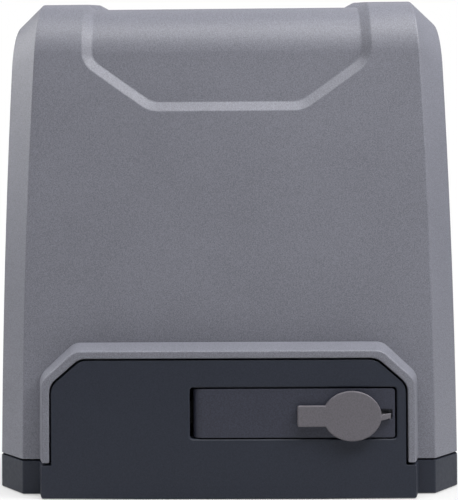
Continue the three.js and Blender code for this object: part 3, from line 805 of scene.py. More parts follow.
def pinion_bolt():
    low, high = box_mm("pinion_bolt")
    shank = rod("bolt_shank", "y", SHAFT, 3, low.y, 130, 0.4, 24)
    head = hexagon("bolt_head", "y", SHAFT, 13, 129.3, high.y, 0.3)
    dish = turned("dish", "y", SHAFT, [(0.5, high.y - 0.7), (4.2, high.y - 0.5), (4.5, high.y + 0.5)], 32)
    return cut(join(shank, head), dish)


def worm_wheel():
    """Bronze wheel: helical teeth, a webbed hub and four driving dogs."""
    low, high = box_mm("worm_wheel")
    half = -low.y
    pitch = (high.x - low.x) / 2 - 1.8
    lean = 2.5 / 22 / pitch
    flank = [(pitch - 2.6, -1), (pitch - 1.2, -0.86), (pitch + 0.6, -0.55), (pitch + 1.8, -0.35)]
    flank += [(radius, -side) for radius, side in reversed(flank)]
    rings = []
    for y, shrink in ((-half, 0.7), (-half + 0.7, 0), (half - 0.7, 0), (half, 0.7)):
        ring = []
        for i in range(WHEEL_TEETH):
            middle = (i + 0.5) * 2 * math.pi / WHEEL_TEETH - y * lean
            ring += [(radius - shrink, middle + side * 2.2 / radius) for radius, side in flank]
        rings.append([(x, y, z) for x, z in polar_points(SHAFT, ring)])
    wheel = loft("worm_gear", rings)
    for i in range(4):
        dog = block("dog", (14.5, 22), (6.5, 12), (-3, 3), 0.4)
        join(wheel, spun(dog, "Y", i * QUARTER, (SHAFT[0], 0, SHAFT[1])))
    cut(wheel, collar("web", "y", SHAFT, 30, 15, -half - 1, -half + 1.6, 0.3, 56),
        rod("bore", "y", SHAFT, 11.4, -half - 2, 14, 0, 64))
    return wheel


def limit_shaft():
    low, high = box_mm("limit_shaft")
    profile = [(3.7, low.y), (4, low.y + 0.4), (4, 98.5), (7.4, 98.6), (8, 99.2),
               (8, high.y - 0.6), (7.4, high.y)]
    flat = rectangle(around(LIMIT[0], 2.6), around(LIMIT[1], 0.5))
    return cut(turned("limit_hub", "y", LIMIT, profile, 40),
               prism("flat", flat, "y", high.y - 0.7, high.y + 1))


def limit_spring():
    """A coil spring standing on the hub, carrying the rod that the gate's stops push."""
    low, high = box_mm("limit_spring")
    x, y = LIMIT[0], (low.y + high.y) / 2
    turns, radius, wire, steps = 15, 3.3, 0.62, 20
    bottom, top = low.z + 2.2, high.z - 26
    count = turns * steps
    plan = polar_points((x, y), [(radius, 2 * math.pi * i / steps) for i in range(count + 1)])
    coil = [(*at, bottom + (top - bottom) * i / count) for i, at in enumerate(plan)]
    foot = [(3.4, 0), (3.9, 0.5), (3.9, 2.2), (2.4, 2.4), (2.4, 9), (1.8, 9.6)]
    arm = [(1.6, top - 9), (2.4, top - 8), (2.4, top - 1), (3.9, top - 0.6), (3.9, top + 1.6),
           (1.8, top + 2.2), (1.8, high.z - 2), (1.6, high.z - 0.8), (0.9, high.z - 0.1)]
    return gather("limit_lever", [turned("foot", "z", (x, y), [(r, low.z + z) for r, z in foot], 28),
                                  turned("arm", "z", (x, y), arm, 28), tube("coil", coil, wire, 8)])


def cover_screw(side, name):
    low, high = box_mm("cover_screw_" + name)
    tip, head = (low.x, high.x) if side > 0 else (high.x, low.x)
    profile = [(1.2, tip), (2, tip + side * 1.5), (2, head - side * 2.5), (4.4, head - side * 2.4),
               (4.5, head - side * 1.5), (4.1, head - side * 0.5), (2.8, head)]
    screw = turned("cover_fixing_" + name, "x", COVER_SCREW, profile, 40)
    slot = sorted((head - side * 1.1, head + side))
    for wide, tall in ((2.9, 0.5), (0.5, 2.9)):
        cut(screw, block("slot", slot, around(COVER_SCREW[0], wide), around(COVER_SCREW[1], tall)))
    return screw


def cable_grommet():
    low, high = box_mm("cable_grommet")
    outer, groove, bore = (high.x - low.x) / 2, CABLE_RADIUS - 0.3, 9
    profile = [(bore + 0.5, low.z), (groove - 0.8, low.z), (groove, low.z + 0.8), (groove, FLOOR + 0.3),
               (outer - 0.5, FLOOR + 0.3), (outer, FLOOR + 0.8), (outer - 0.3, high.z - 0.7),
               (outer - 1.6, high.z), (bore + 0.6, high.z), (bore, high.z - 0.6), (bore, low.z + 0.5)]
    return turned("cable_seal", "z", CABLE, profile, 64, hollow=True)


def shielded_bearing(node, axis, centre, outer, inner):
    """Two races with a shield between them."""
    low, high = box_mm(node)
    start, end = (low.y, high.y) if axis == "y" else (low.z, high.z)
    wall = (outer - inner) * 0.3
    rings = [(outer, outer - wall, 0, 0.4), (inner + wall, inner, 0, 0.3),
             (outer - wall - 0.02, inner + wall + 0.02, 0.7, 0.1)]
    races = [collar("ring", axis, centre, wide, narrow, start + sunk, end - sunk, edge, 56)
             for wide, narrow, sunk, edge in rings]
    return gather(node + "_races", races)


# ---- gearbox and motor -------------------------------------------------------------------
MOTOR_RADIUS, FINS = 46, 40
BOLT_CIRCLE = 38.9
BOLTS = circle(MOTOR, BOLT_CIRCLE, 4, QUARTER / 2)
OIL_PLUG = (-43, -14)


def gearbox_housing():
    low = box_mm("gearbox_housing")[0]
    case = refined("gearbox_housing", 1.0)
    ribs = [(around(x, 1.3), (low.y - 2.2, low.y + 1)) for x in (-52, -41, 11, 22, 33, 44)]
    ribs += [((low.x - 2.2, low.x + 1), around(y, 1.3)) for y in (-27, -13, 1, 15)]
    for x, y in ribs:
        join(case, block("rib", x, y, (low.z + 4, 88), 0.8))
    return join(case, collar("boss", "y", SHAFT, 25, 18.4, low.y - 2.6, low.y + 1, 0.9, 56))


def gearbox_cover():
    low, high = box_mm("gearbox_cover")
    plate = refined("gearbox_cover", 0.9)
    for y in (-28, 0, 28):
        join(plate, block("rib", (low.x + 12, -20), around(y, 1.4), (high.z - 1, high.z + 2.4), 0.8))
    return join(plate, rod("plug_seat", "z", OIL_PLUG, 9, high.z - 1, high.z + 2, 0.8, 40))


def oil_plug():
    top = box_mm("gearbox_cover")[1].z
    return join(hexagon("oil_plug", "z", OIL_PLUG, 12, top + 2.3, top + 7.5),
                rod("collar", "z", OIL_PLUG, 8, top + 2.1, top + 3.4, 0.4, 36))


def motor_housing():
    """A drawn tube with rounded cooling fins between plain bands for the tie bolts."""
    low, high = box_mm("motor_housing")
    flank = [(42.2, -2.1), (42.9, -1.5), (45.2, -1.05), (45.8, -0.6)]
    fin = flank + [(MOTOR_RADIUS, 0.0)] + [(radius, -side) for radius, side in reversed(flank)]
    outline = []
    for i in range(FINS):
        middle = (i + 0.5) * 2 * math.pi / FINS
        outline += [(radius, middle + side / radius) for radius, side in fin]
    shell = prism("motor_shell", polar_points(MOTOR, outline), "z", low.z, high.z)
    for start in (low.z, high.z - 5):
        join(shell, rod("band", "z", MOTOR, MOTOR_RADIUS - 0.6, start, start + 5, 0.5, 80))
    return cut(shell, rod("bore", "z", MOTOR, 34.5, low.z - 1, high.z + 1, 0, 64),
               *[rod("hole", "z", at, 2.9, low.z - 1, high.z + 1, 0, 20) for at in BOLTS])


def motor_cap():
    low, high = box_mm("motor_cap")
    outer = [(MOTOR_RADIUS - 0.7, low.z), (MOTOR_RADIUS, low.z + 0.7), (MOTOR_RADIUS, low.z + 6.7),
             (MOTOR_RADIUS - 1, low.z + 7.7), (33.5, low.z + 7.9), (32.2, low.z + 8.8),
             (28.2, high.z - 1.2), (27, high.z)]
    cap = turned("motor_end", "z", MOTOR, outer, 72)
    for i in range(12):
        fin = block("fin", (27.5, 43), (-1.1, 1.1), (low.z + 6, low.z + 12.5), 0.7)
        join(cap, spun(fin, "Z", math.radians(30 * i), (MOTOR[0], MOTOR[1], 0)))
    return cut(cap, rod("inside", "z", MOTOR, 30, low.z - 1, low.z + 4.7, 0, 48),
               rod("seat", "z", MOTOR, 11.3, low.z + 3, low.z + 18.7, 0, 48),
               *[rod("hole", "z", at, 2.9, low.z - 1, low.z + 9, 0, 20) for at in BOLTS],
               *[rod("clear", "z", at, 6.2, low.z + 8, low.z + 14, 0, 24) for at in BOLTS])


def tie_bolt(number, at):
    low, high = box_mm("tie_bolt_%d" % number)
    head = hexagon("tie", "z", at, 8, high.z - 4.1, high.z, 0.5 + number)
    bolt = join(rod("stud_%d" % number, "z", at, 2.5, low.z, high.z - 3, 0.4, 20), head)
    return join(bolt, rod("washer", "z", at, 5.2, high.z - 4.15, high.z - 3.2, 0.2, 32))


def gearbox_screw(number):
    node = "gearbox_screw_%d" % number
    low, high = box_mm(node)
    at = middle_of(node, "xy")
    profile = [(2.1, low.z), (2.5, low.z + 0.5), (2.5, high.z - 4.7), (4.2, high.z - 4.65),
               (4.2, high.z - 0.6), (3.6, high.z)]
    screw = turned("housing_screw_%d" % number, "z", at, profile, 40)
    return cut(screw, prism("socket", circle(at, 2.2, 6), "z", high.z - 2.6, high.z + 1))


def run_capacitor():
    low, high = box_mm("run_capacitor")
    at = middle_of("run_capacitor", "xy")
    profile = [(17.5, low.z), (19, low.z + 0.6), (19.5, low.z + 2), (19.5, 100.5), (18.9, 101.6),
               (18.9, 102.4), (19.5, 103.2), (19.3, 104.2), (18.4, 104.6), (17.6, 104.3), (17, 104.6),
               (16.6, 106.4), (15.8, 107)]
    can = turned("capacitor_can", "z", at, profile, 64)
    for x in (at[0] - 7, at[0] + 7):
        join(can, block("blade", around(x, 0.5), around(at[1], 3), (105, high.z), 0.2),
             rod("collar", "z", (x, at[1]), 3.6, 105, 108.4, 0.5, 24))
    return can


def capacitor_clamp():
    low, high = box_mm("capacitor_clamp")
    radius = (high.y - low.y) / 2
    at = (low.x + radius, (low.y + high.y) / 2)
    ring = collar("clamp_band", "z", at, radius, radius - 2.2, low.z, high.z, 0.4, 64)
    strap = block("strap", (at[0] + radius - 1, high.x), (23, 33), (low.z, high.z), 0.5)
    return join(ring, strap, hexagon("nut", "x", (28, (low.z + high.z) / 2), 6, high.x - 4, high.x - 0.2))


# ---- electrics ---------------------------------------------------------------------------
BOARD_LOW, BOARD_HIGH = box_mm("control_board")
BOARD = BOARD_LOW.y        # front face of the board
BOARD_FIXINGS = [(x, z) for x in (-95.5, 79.5) for z in (140, 213)]


def on_board(x, z, wide, high, tall, edge=0.2, lift=0.0):
    """A small block standing on the board, centred at (x, z)."""
    return block("part", around(x, wide / 2), (BOARD - lift - tall, BOARD - lift), around(z, high / 2), edge)


def from_board(name, at, profile, count):
    """A turned part standing on the board: profile is (radius, height off the board)."""
    return turned(name, "y", at, [(radius, BOARD - height) for radius, height in profile], count)


def control_board():
    outline = rectangle((BOARD_LOW.x, BOARD_HIGH.x), (BOARD_LOW.z, BOARD_HIGH.z), 2.5, 5)
    board = prism("circuit_board", outline, "y", BOARD_LOW.y, BOARD_HIGH.y)
    return cut(board, *[rod("hole", "y", at, 1.7, BOARD - 1, BOARD + 3, 0, 20) for at in BOARD_FIXINGS])


def board_screws():
    profile = [(1.6, -0.5), (1.6, 0.05), (3.1, 0.1), (3.1, 1.0), (2.4, 1.9), (0.9, 2.1)]
    return gather("board_screws", [from_board("screw", at, profile, 28) for at in BOARD_FIXINGS])


# Chips as x, z, width, height and thickness, capacitors as x, z, radius and length.
CHIPS = [(-13, 179, 14, 14, 1.7), (-10, 154, 10, 6, 2.0), (36, 196, 6, 4, 1.4), (52, 172, 12, 8, 1.9),
         (-34, 190, 8, 6, 1.6)]
DRUMS = [(6, 146, 5.0, 9.2), (19, 146, 5.0, 9.2), (32, 144, 4.0, 8.0), (-26, 143, 4.0, 8.0),
         (-28, 168, 3.2, 6.5)]
# Boxes (x, x, z, z) of the board that hold larger parts.
TAKEN = [(38, 66, 145, 159), (-92, -38, 146, 182), (10, 30, 180, 200), (36, 70, 184, 212)]


def board_black():
    """Integrated circuits, sockets, capacitor sleeves and the pattern of chip resistors."""
    parts = [on_board(x, z, wide, high, tall, 0.25, 0.3) for x, z, wide, high, tall in CHIPS]
    for x, z, radius, tall in DRUMS:
        profile = [(radius - 0.2, 0.2), (radius, 0.6), (radius, 1.8), (radius - 0.35, 2.1), (radius, 2.5),
                   (radius, tall - 0.4), (radius - 0.5, tall), (radius - 0.9, tall - 0.15)]
        parts.append(from_board("drum", (x, z), profile, 32))
    parts.append(on_board(52, 152, 22, 7, 4.6, 0.3))
    picker = random.Random(5)
    for _ in range(70):
        x, z = picker.uniform(-92, 76), picker.uniform(134, 212)
        busy = any(abs(x - c[0]) < c[2] / 2 + 3 and abs(z - c[1]) < c[3] / 2 + 3 for c in CHIPS)
        busy = busy or any(math.hypot(x - d[0], z - d[1]) < d[2] + 2.5 for d in DRUMS)
        busy = busy or any(x0 < x < x1 and z0 < z < z1 for x0, x1, z0, z1 in TAKEN)
        if not busy:
            wide, high = picker.choice(((2.2, 1.2), (1.2, 2.2), (3.2, 1.6)))
            parts.append(on_board(round(x), round(z), wide, high, 0.6, 0.1, 0.05))
    return gather("board_parts_black", parts)


def board_metal():
    """Pins, crystal, radio can, fuse clips and the tops of the capacitors."""
    parts = [on_board(59, 198, 20, 22, 3.4, 0.5, 0.2), on_board(-4, 167, 9, 3.6, 3.0, 1.2, 0.1)]
    for x, z, wide, high, tall in CHIPS:
        count = int(wide / 1.4)
        for i in range(count):
            across = x + (i - (count - 1) / 2) * wide / count
            for side in (-1, 1):
                parts.append(on_board(across, z + side * (high / 2 + 0.5), 0.5, 1.3, 0.35, 0.08, 0.05))
    for x, z, radius, tall in DRUMS:
        parts.append(rod("top", "y", (x, z), radius - 0.9, BOARD - tall - 0.02, BOARD - tall + 0.5, 0.1, 28))
    for x in (-35, -19):
        parts.append(on_board(x, 134.6, 3.6, 6.4, 5.2, 0.4, 0.1))
    return gather("board_parts_metal", parts)


def board_white():
    """Plug sockets, switch sliders and the fuse's body."""
    parts = [on_board(-22, 206, 24, 6.4, 5.4, 0.4), on_board(12, 207, 14, 6.4, 5.4, 0.4)]
    parts += [on_board(44 + 2.6 * i, 152 + (1 if i % 3 else -1), 1.5, 2.4, 5.2, 0.2) for i in range(7)]
    parts.append(rod("fuse", "x", (BOARD - 3.4, 134.6), 2.3, -34, -20, 0.2, 24))
    return gather("board_parts_white", parts)


def board_lamps():
    """Signal lamps and trimmer wheels."""
    profile = [(1.5, 0.1), (1.5, 2.4), (1.2, 3.1), (0.6, 3.5)]
    parts = [from_board("lamp", (36 + 7 * i, 136), profile, 20) for i in range(5)]
    for z in (166, 175):
        slot = block("slot", (63.6, 68.4), (BOARD - 5, BOARD - 3.7), around(z, 0.4))
        parts.append(cut(on_board(66, z, 6.6, 6.6, 4.4, 0.3), slot))
    return gather("board_parts_signal", parts)


POLE_PITCH = 7.5


def pole_places(low, high):
    """Middles of a terminal block's poles, along x."""
    return [low.x + POLE_PITCH * (i + 0.5) for i in range(round((high.x - low.x) / POLE_PITCH))]


def terminal_block(side):
    low, high = box_mm("terminal_block_" + side)
    body = block("terminal_strip_" + side, (low.x, high.x), (low.y, high.y), (low.z, high.z), 0.4)
    step = block("step", (low.x - 1, high.x + 1), (low.y - 1, low.y + 3.2), (low.z + 8.6, high.z + 1))
    cut(body, step)
    for i, x in enumerate(pole_places(low, high)):
        cut(body, block("entry", around(x, 2.1), (low.y + 2, low.y + 8), (low.z - 1, low.z + 4)),
            rod("well", "y", (x, low.z + 5), 2.7, low.y - 1, low.y + 2.4, 0, 24))
        if i:
            groove = around(x - POLE_PITCH / 2, 0.2)
            cut(body, block("groove", groove, (low.y - 1, low.y + 0.6), (low.z - 1, low.z + 9)))
    return body


def terminal_screws():
    screws = []
    for side in ("left", "right"):
        low, high = box_mm("terminal_block_" + side)
        profile = [(2.4, low.y + 2.3), (2.4, low.y + 1.2), (2.1, low.y + 0.8)]
        for x in pole_places(low, high):
            slot = block("slot", around(x, 2.6), (low.y, low.y + 1.5), around(low.z + 5, 0.35))
            screws.append(cut(turned("screw", "y", (x, low.z + 5), profile, 24), slot))
    return gather("terminal_screws", screws)


def relay(number):
    low, high = box_mm("relay_%d" % number)
    case = block("relay_case_%d" % number, (low.x, high.x), (low.y, high.y), (low.z, high.z), 0.7, 3)
    return cut(case, *[block("line", (low.x + 2, high.x - 2), (low.y - 1, low.y + 0.3), (z, z + 0.7))
                       for z in (low.z + 3, high.z - 4)])


def board_tray():
    tray = refined("board_tray", 0.6)
    for x in (-92, -56, -20, 16, 52, 80):
        join(tray, block("rib", around(x, 1), (-55, -51.5), (88, 220), 0.5))
    return tray


def limit_box():
    low, high = box_mm("limit_switch_box")
    body = refined("limit_switch_box", 0.9)
    for z in ((low.z - 1, low.z + 0.6), (high.z - 0.6, high.z + 1)):
        cut(body, block("seam", (low.x - 1, high.x + 1), (low.y + 3, low.y + 3.5), z))
    profile = [(2.2, low.y + 0.5), (2.4, low.y - 0.9), (1.6, low.y - 1.4)]
    for x in (low.x + 5, high.x - 5):
        join(body, turned("screw", "y", (x, low.z + 5), profile, 24))
    return body


def coil_flanges():
    """Bobbin cheeks above and below the transformer's winding."""
    low, high = box_mm("transformer_coil")
    core_low, core_high = box_mm("transformer_core")
    outline = rectangle((low.x + 1, high.x - 1), (low.y + 1, high.y - 1), 6, 4)
    window = (core_low.x - 0.3, core_high.x + 0.3), (core_low.y - 0.3, core_high.y + 0.3)
    cheeks = [cut(prism("cheek", outline, "z", z, z + 1.2), block("window", *window, (z - 1, z + 3)))
              for z in (low.z - 0.9, high.z - 0.3)]
    return gather("bobbin", cheeks)


def lead(name, points):
    return tube(name, curve_through(points), 1.1)


# ---- materials ---------------------------------------------------------------------------
def add_node(tree, kind, values, **attributes):
    """A node with its attributes set, and each input given a value or linked to an output."""
    node = tree.nodes.new("ShaderNode" + kind)
    for name, value in attributes.items():
        setattr(node, name, value)
    for socket, value in values.items():
        if isinstance(value, bpy.types.NodeSocket):
            tree.links.new(value, node.inputs[socket])
        else:
            node.inputs[socket].default_value = value
    return node


class Shader:
    """A Principled material with short helpers for its nodes."""

    def __init__(self, name, color, roughness, metallic=0.0, specular=0.5):
        self.material = bpy.data.materials.new(name)
        self.material.use_nodes = True
        self.tree = self.material.node_tree
        self.surface = self.tree.nodes["Principled BSDF"]
        self.surface.inputs["Metallic"].default_value = metallic
        self.surface.inputs["Specular IOR Level"].default_value = specular
        self.surface.inputs["Roughness"].default_value = roughness
        self.surface.inputs["Base Color"].default_value = (*color, 1)
        self.color = color
        self.roughness = roughness
        self.place = self.node("TexCoord", {}).outputs["Object"]

    def node(self, kind, values, **attributes):
        return add_node(self.tree, kind, values, **attributes)

    def feed(self, output, name):
        self.tree.links.new(output, self.surface.inputs[name])

    def stretched(self, scale, turn=(0, 0, 0)):
        values = {"Scale": scale, "Rotation": turn, "Vector": self.place}
        return self.node("Mapping", values).outputs["Vector"]

    def noise(self, scale, detail=3.0, rough=0.55, vector=None):
        values = {"Scale": scale, "Detail": detail, "Roughness": rough, "Vector": vector or self.place}
        return self.node("TexNoise", values).outputs["Fac"]

    def spread(self, value, low, high, start=0.3, stop=0.7):
        """Carries a value from start...stop to low...high."""
        values = {"From Min": start, "From Max": stop, "To Min": low, "To Max": high, "Value": value}
        return self.node("MapRange", values).outputs["Result"]

    def math(self, operation, a, b):
        return self.node("Math", {0: a, 1: b}, operation=operation).outputs["Value"]

    def blend(self, a, b, share):
        """Share of a and the rest of b."""
        return self.math("ADD", self.math("MULTIPLY", a, share), self.math("MULTIPLY", b, 1 - share))

    def tint(self, factor, darker, lighter):
        """Colour between two shades of the base colour, chosen by factor."""
        first, second = [(*[min(1.0, c * shade) for c in self.color], 1) for shade in (darker, lighter)]
        mix = self.node("Mix", {"Factor": factor, "A": first, "B": second}, data_type="RGBA")
        self.feed(mix.outputs["Result"], "Base Color")

    def roughen(self, factor, amount):
        self.feed(self.spread(factor, self.roughness - amount, self.roughness + amount), "Roughness")

    def bump(self, heights, depths):
        normal = {}
        for height, depth in zip(heights, depths):
            bump = self.node("Bump", {"Distance": depth * MM, "Strength": 1.0, "Height": height, **normal})
            normal = {"Normal": bump.outputs["Normal"]}
        self.feed(normal["Normal"], "Normal")


def moulded(name, color, roughness, grain=0.05, grain_size=1.1, mottle_and_tip_highlight=0.05, specular=0.5):
    """Moulded plastic: spark-eroded grain with random tone and tips painted lighter as a painted highlight,
    faint clouds and slightly uneven gloss.
    """
    shader = Shader(name, color, roughness, specular=specular)
    skewed = shader.stretched((1, 1, 1), (0.7, 0.5, 0.9))    # keeps the noise's lattice off the flat faces
    fine = shader.noise(1 / (grain_size * MM), 1.0, 0.5, skewed)
    coarse = shader.noise(1 / (grain_size * 3.2 * MM), 2.0, 0.55, skewed)
    cloud = shader.noise(14, 4.0)
    shade = shader.blend(shader.blend(fine, coarse, 0.92), cloud, 0.85)
    # The colour follows the grain's bump: random tone, with the raised tips painted lighter as a painted
    # highlight.
    shader.tint(shader.spread(shade, 0, 1, 0.35, 0.65), 1 - mottle_and_tip_highlight, 1 + mottle_and_tip_highlight)
    shader.roughen(coarse, 0.05)
    shader.bump([coarse, fine], [grain * 0.4, grain])
    return shader.material


def metal(name, color, roughness, grain=0.01, stretch=(40, 40, 900), patch=0.08):
    """Machined or rolled metal: fine directional marks and cloudy gloss."""
    shader = Shader(name, color, roughness, metallic=1.0)
    marks = shader.noise(1.0, 3.0, 0.6, shader.stretched(stretch))
    cloud = shader.noise(45, 4.0)
    shader.tint(shader.spread(cloud, 0, 1), 1 - patch, 1 + patch)
    shader.roughen(shader.blend(marks, cloud, 0.5), min(0.12, roughness * 0.5))
    shader.bump([marks], [grain])
    return shader.material


def cast(name, color, roughness):
    """Die-cast metal, blasted: a coarse pebbled skin and cloudy tone, with painted shade making the hollows
    darker.
    """
    shader = Shader(name, color, roughness, metallic=0.85)
    pebble = shader.noise(1100, 3.0, 0.65)
    cloud = shader.noise(30, 5.0)
    # The tint follows the same cloud as the larger bump, so the hollows are darker: painted shade.
    shader.tint(shader.spread(cloud, 0, 1), 0.82, 1.06)
    shader.roughen(pebble, 0.08)
    shader.bump([pebble, cloud], [0.08, 0.3])
    return shader.material


def srgb(*values):
    """Linear colour from 8-bit display values."""
    return tuple((v / 255 / 12.92) if v < 11 else ((v / 255 + 0.055) / 1.055) ** 2.4 for v in values)


GREY = moulded("grey_plastic", srgb(111, 112, 121), 0.5, 0.05, 0.6, 0.24, 0.45)
DARK = moulded("dark_plastic", srgb(38, 42, 53), 0.5, 0.03, 0.8, 0.14, 0.28)
LEVER_DARK = moulded("lever_plastic", srgb(48, 50, 62), 0.45, 0.03, 0.8, 0.22, 0.36)
CAP_RUBBER = moulded("cap_rubber", srgb(94, 91, 97), 0.5, 0.03, 0.8, 0.12, 0.45)
BLACK_RUBBER = moulded("black_rubber", srgb(24, 24, 25), 0.75, 0.05, 0.8, 0.12, 0.3)
BLACK = moulded("black_plastic", srgb(34, 35, 37), 0.45, 0.03, 0.8, 0.06)
WHITE = moulded("white_plastic", srgb(216, 215, 208), 0.35, 0.01, 1.0, 0.02)
GREEN = moulded("green_plastic", srgb(60, 150, 84), 0.4, 0.01, 1.0, 0.04)
BOARD_GREEN = moulded("solder_mask", srgb(22, 92, 56), 0.35, 0.01, 1.4, 0.1)
RELAY_BLUE = moulded("relay_blue", srgb(54, 104, 170), 0.35, 0.01, 1.0, 0.03)
SIGNAL = moulded("signal_red", srgb(186, 52, 44), 0.3, 0.01, 1.0, 0.04)
BROWN_WIRE = moulded("brown_sleeve", srgb(104, 66, 40), 0.4, 0.01, 1.0, 0.05)
BLUE_WIRE = moulded("blue_sleeve", srgb(48, 88, 158), 0.4, 0.01, 1.0, 0.05)
STEEL = metal("steel", (0.56, 0.57, 0.58), 0.3)
ZINC = metal("zinc_plate", (0.62, 0.63, 0.62), 0.34, 0.006, (300, 300, 300), 0.1)
# Blackened steel, made this dark also as painted shade for the gap beside the lever's hinge end.
BLACK_STEEL_AND_SHADE = metal("blackened_steel_and_shade", (0.06, 0.06, 0.065), 0.45)
BRASS = metal("brass", (0.72, 0.56, 0.28), 0.28)
BRONZE = metal("bronze", (0.60, 0.38, 0.20), 0.35)
LAMINATE = metal("laminations", (0.30, 0.31, 0.33), 0.45, 0.05, (20, 20, 1600))
COPPER = metal("copper_winding", (0.55, 0.25, 0.12), 0.35, 0.06, (20, 20, 1300))
ALUMINIUM = cast("cast_aluminium", (0.62, 0.63, 0.64), 0.5)

# ---- outer pieces ------------------------------------------------------------------------
finish_piece(top_cover(), "cover", "grey_cover", GREY, "top_cover", angle=28)
finish_piece(base_housing(), "base", "dark_base", DARK, "base_housing", angle=28)
finish_piece(release_lever(), "lever", "dark_lever", LEVER_DARK, "release_lever", angle=28)
# The arm is black as painted shade: it shows in the gap beside the lever's hinge end.
finish_piece(lever_arm(), "lever", "black_plastic", BLACK_RUBBER)
finish_piece(key_cap(), "cap", "grey_rubber", CAP_RUBBER, "key_cap", angle=40)
finish_piece(cap_plug(), "lever", "grey_rubber", CAP_RUBBER, "cap_anchor")
finish_piece(lock_bezel(), "lever", "steel", ZINC, "lock_bezel")
finish_piece(lock_barrel(), "lock", "lock_brass", BRASS, "lock_barrel")

# ---- drive -------------------------------------------------------------------------------
finish_piece(drive_pinion(), "output", "steel", STEEL, "drive_pinion")
finish_piece(output_shaft(), "output", "steel", STEEL, "output_shaft")
finish_piece(worm_wheel(), "output", "bronze", BRONZE, "worm_wheel")
finish_piece(collar("pinion_plate", "y", SHAFT, 15.5, 4.2, box_mm("pinion_washer")[0].y, 129, 0.3, 56),
             "output", "steel", ZINC, "pinion_washer")
finish_piece(pinion_bolt(), "output", "steel", ZINC, "pinion_bolt")
finish_piece(limit_shaft(), "limit", "steel", ZINC, "limit_shaft")
finish_piece(limit_spring(), "limit", "steel", STEEL, "limit_spring", angle=40)
for side, name in ((1, "right"), (-1, "left")):
    finish_piece(cover_screw(side, name), "base", "steel", ZINC, "cover_screw_" + name)
finish_piece(cable_grommet(), "base", "black_rubber", BLACK_RUBBER, "cable_grommet", angle=40)
finish_piece(collar("shaft_seal", "y", SHAFT, 16, 11.3, 89, 96.8, 0.8, 56),
             "base", "black_rubber", BLACK_RUBBER, "output_seal")
finish_piece(refined("clutch_ring", 0.4), "clutch", "steel", STEEL, "clutch_ring")
finish_piece(rod("push_rod", "y", SHAFT, 3.5, -81, 12.6, 0.8, 32),
             "pushrod", "steel", STEEL, "release_pushrod")
# The hinge pin is blackened steel, its darkness partly painted shade for the gap at the lever's end.
finish_piece(rod("hinge_pin", "z", (SHAFT[0], PIVOT_Y), 2.5, 28.3, 72.7, 0.5, 32),
             "base", "steel", BLACK_STEEL_AND_SHADE, "lever_hinge_pin")
finish_piece(refined("lock_cam", 0.3), "lock", "steel", ZINC, "lock_cam")

# ---- gearbox, motor and electrics --------------------------------------------------------
finish_piece(gearbox_housing(), "base", "cast_aluminium", ALUMINIUM, "gearbox_housing")
finish_piece(gearbox_cover(), "base", "cast_aluminium", ALUMINIUM, "gearbox_cover")
finish_piece(oil_plug(), "base", "steel", BRASS)
finish_piece(motor_housing(), "base", "cast_aluminium", ALUMINIUM, "motor_housing", angle=40)
finish_piece(motor_cap(), "base", "cast_aluminium", ALUMINIUM, "motor_cap")
finish_piece(shielded_bearing("motor_top_bearing", "z", MOTOR, 11, 5),
             "base", "steel", STEEL, "motor_top_bearing")
for number, at in enumerate(BOLTS, 1):
    finish_piece(tie_bolt(number, at), "base", "steel", ZINC, "tie_bolt_%d" % number)
    finish_piece(gearbox_screw(number), "base", "steel", ZINC, "gearbox_screw_%d" % number)
finish_piece(run_capacitor(), "base", "white_plastic", WHITE, "run_capacitor")
finish_piece(capacitor_clamp(), "base", "steel", ZINC, "capacitor_clamp")
finish_piece(refined("transformer_core", 0.4), "base", "laminations", LAMINATE, "transformer_core")
finish_piece(refined("transformer_coil", 1.2), "base", "copper_winding", COPPER, "transformer_coil")
finish_piece(coil_flanges(), "base", "black_plastic", BLACK)
finish_piece(board_tray(), "base", "black_plastic", BLACK, "board_tray")
finish_piece(control_board(), "base", "circuit_board", BOARD_GREEN, "control_board")
finish_piece(board_screws(), "base", "steel", ZINC)
finish_piece(board_black(), "base", "black_plastic", BLACK)
finish_piece(board_metal(), "base", "steel", ZINC)
finish_piece(board_white(), "base", "white_plastic", WHITE)
finish_piece(board_lamps(), "base", "white_plastic", SIGNAL)
for side in ("left", "right"):
    finish_piece(terminal_block(side), "base", "green_plastic", GREEN, "terminal_block_" + side)
finish_piece(terminal_screws(), "base", "steel", ZINC)
for number in (1, 2):
    finish_piece(relay(number), "base", "white_plastic", RELAY_BLUE, "relay_%d" % number)
finish_piece(refined("button_switch", 0.5), "base", "black_plastic", BLACK, "button_switch")
finish_piece(refined("learn_button", 0.4), "button", "grey_rubber", CAP_RUBBER, "learn_button")
finish_piece(limit_box(), "base", "black_plastic", BLACK, "limit_switch_box")

COIL_TOP = box_mm("transformer_coil")[1].z
SLEEVES = (BLACK, BROWN_WIRE, BLUE_WIRE)
for i, material in enumerate(SLEEVES):
    x = 12 + POLE_PITCH * i
    path = [(88 + i * 4, 8, COIL_TOP - 2), (92 + i * 3, -4, COIL_TOP + 14), (88 + i * 3, -42, 72),
            (76 + i * 3, -62.5, 78 + 2 * i), (x + 10, -66.8, 92 + 3 * i), (x, -66.5, 106), (x, -66.2, 117)]
    finish_piece(lead("transformer_lead_%d" % (i + 1), path), "base", "black_rubber", material)
for i, material in enumerate(SLEEVES):
    x = -59 + POLE_PITCH * i
    path = [(2 + i * 3, -30 - i, 207), (-6 + i * 3, -42, 214), (-30 + 2 * i, -46, 200),
            (-108.5, -50 + 2 * i, 165), (-109, -60, 120), (-100 + 8 * i, -66.8, 100), (x, -66.6, 104),
            (x, -66.2, 117)]
    finish_piece(lead("motor_lead_%d" % (i + 1), path), "base", "black_rubber", material)

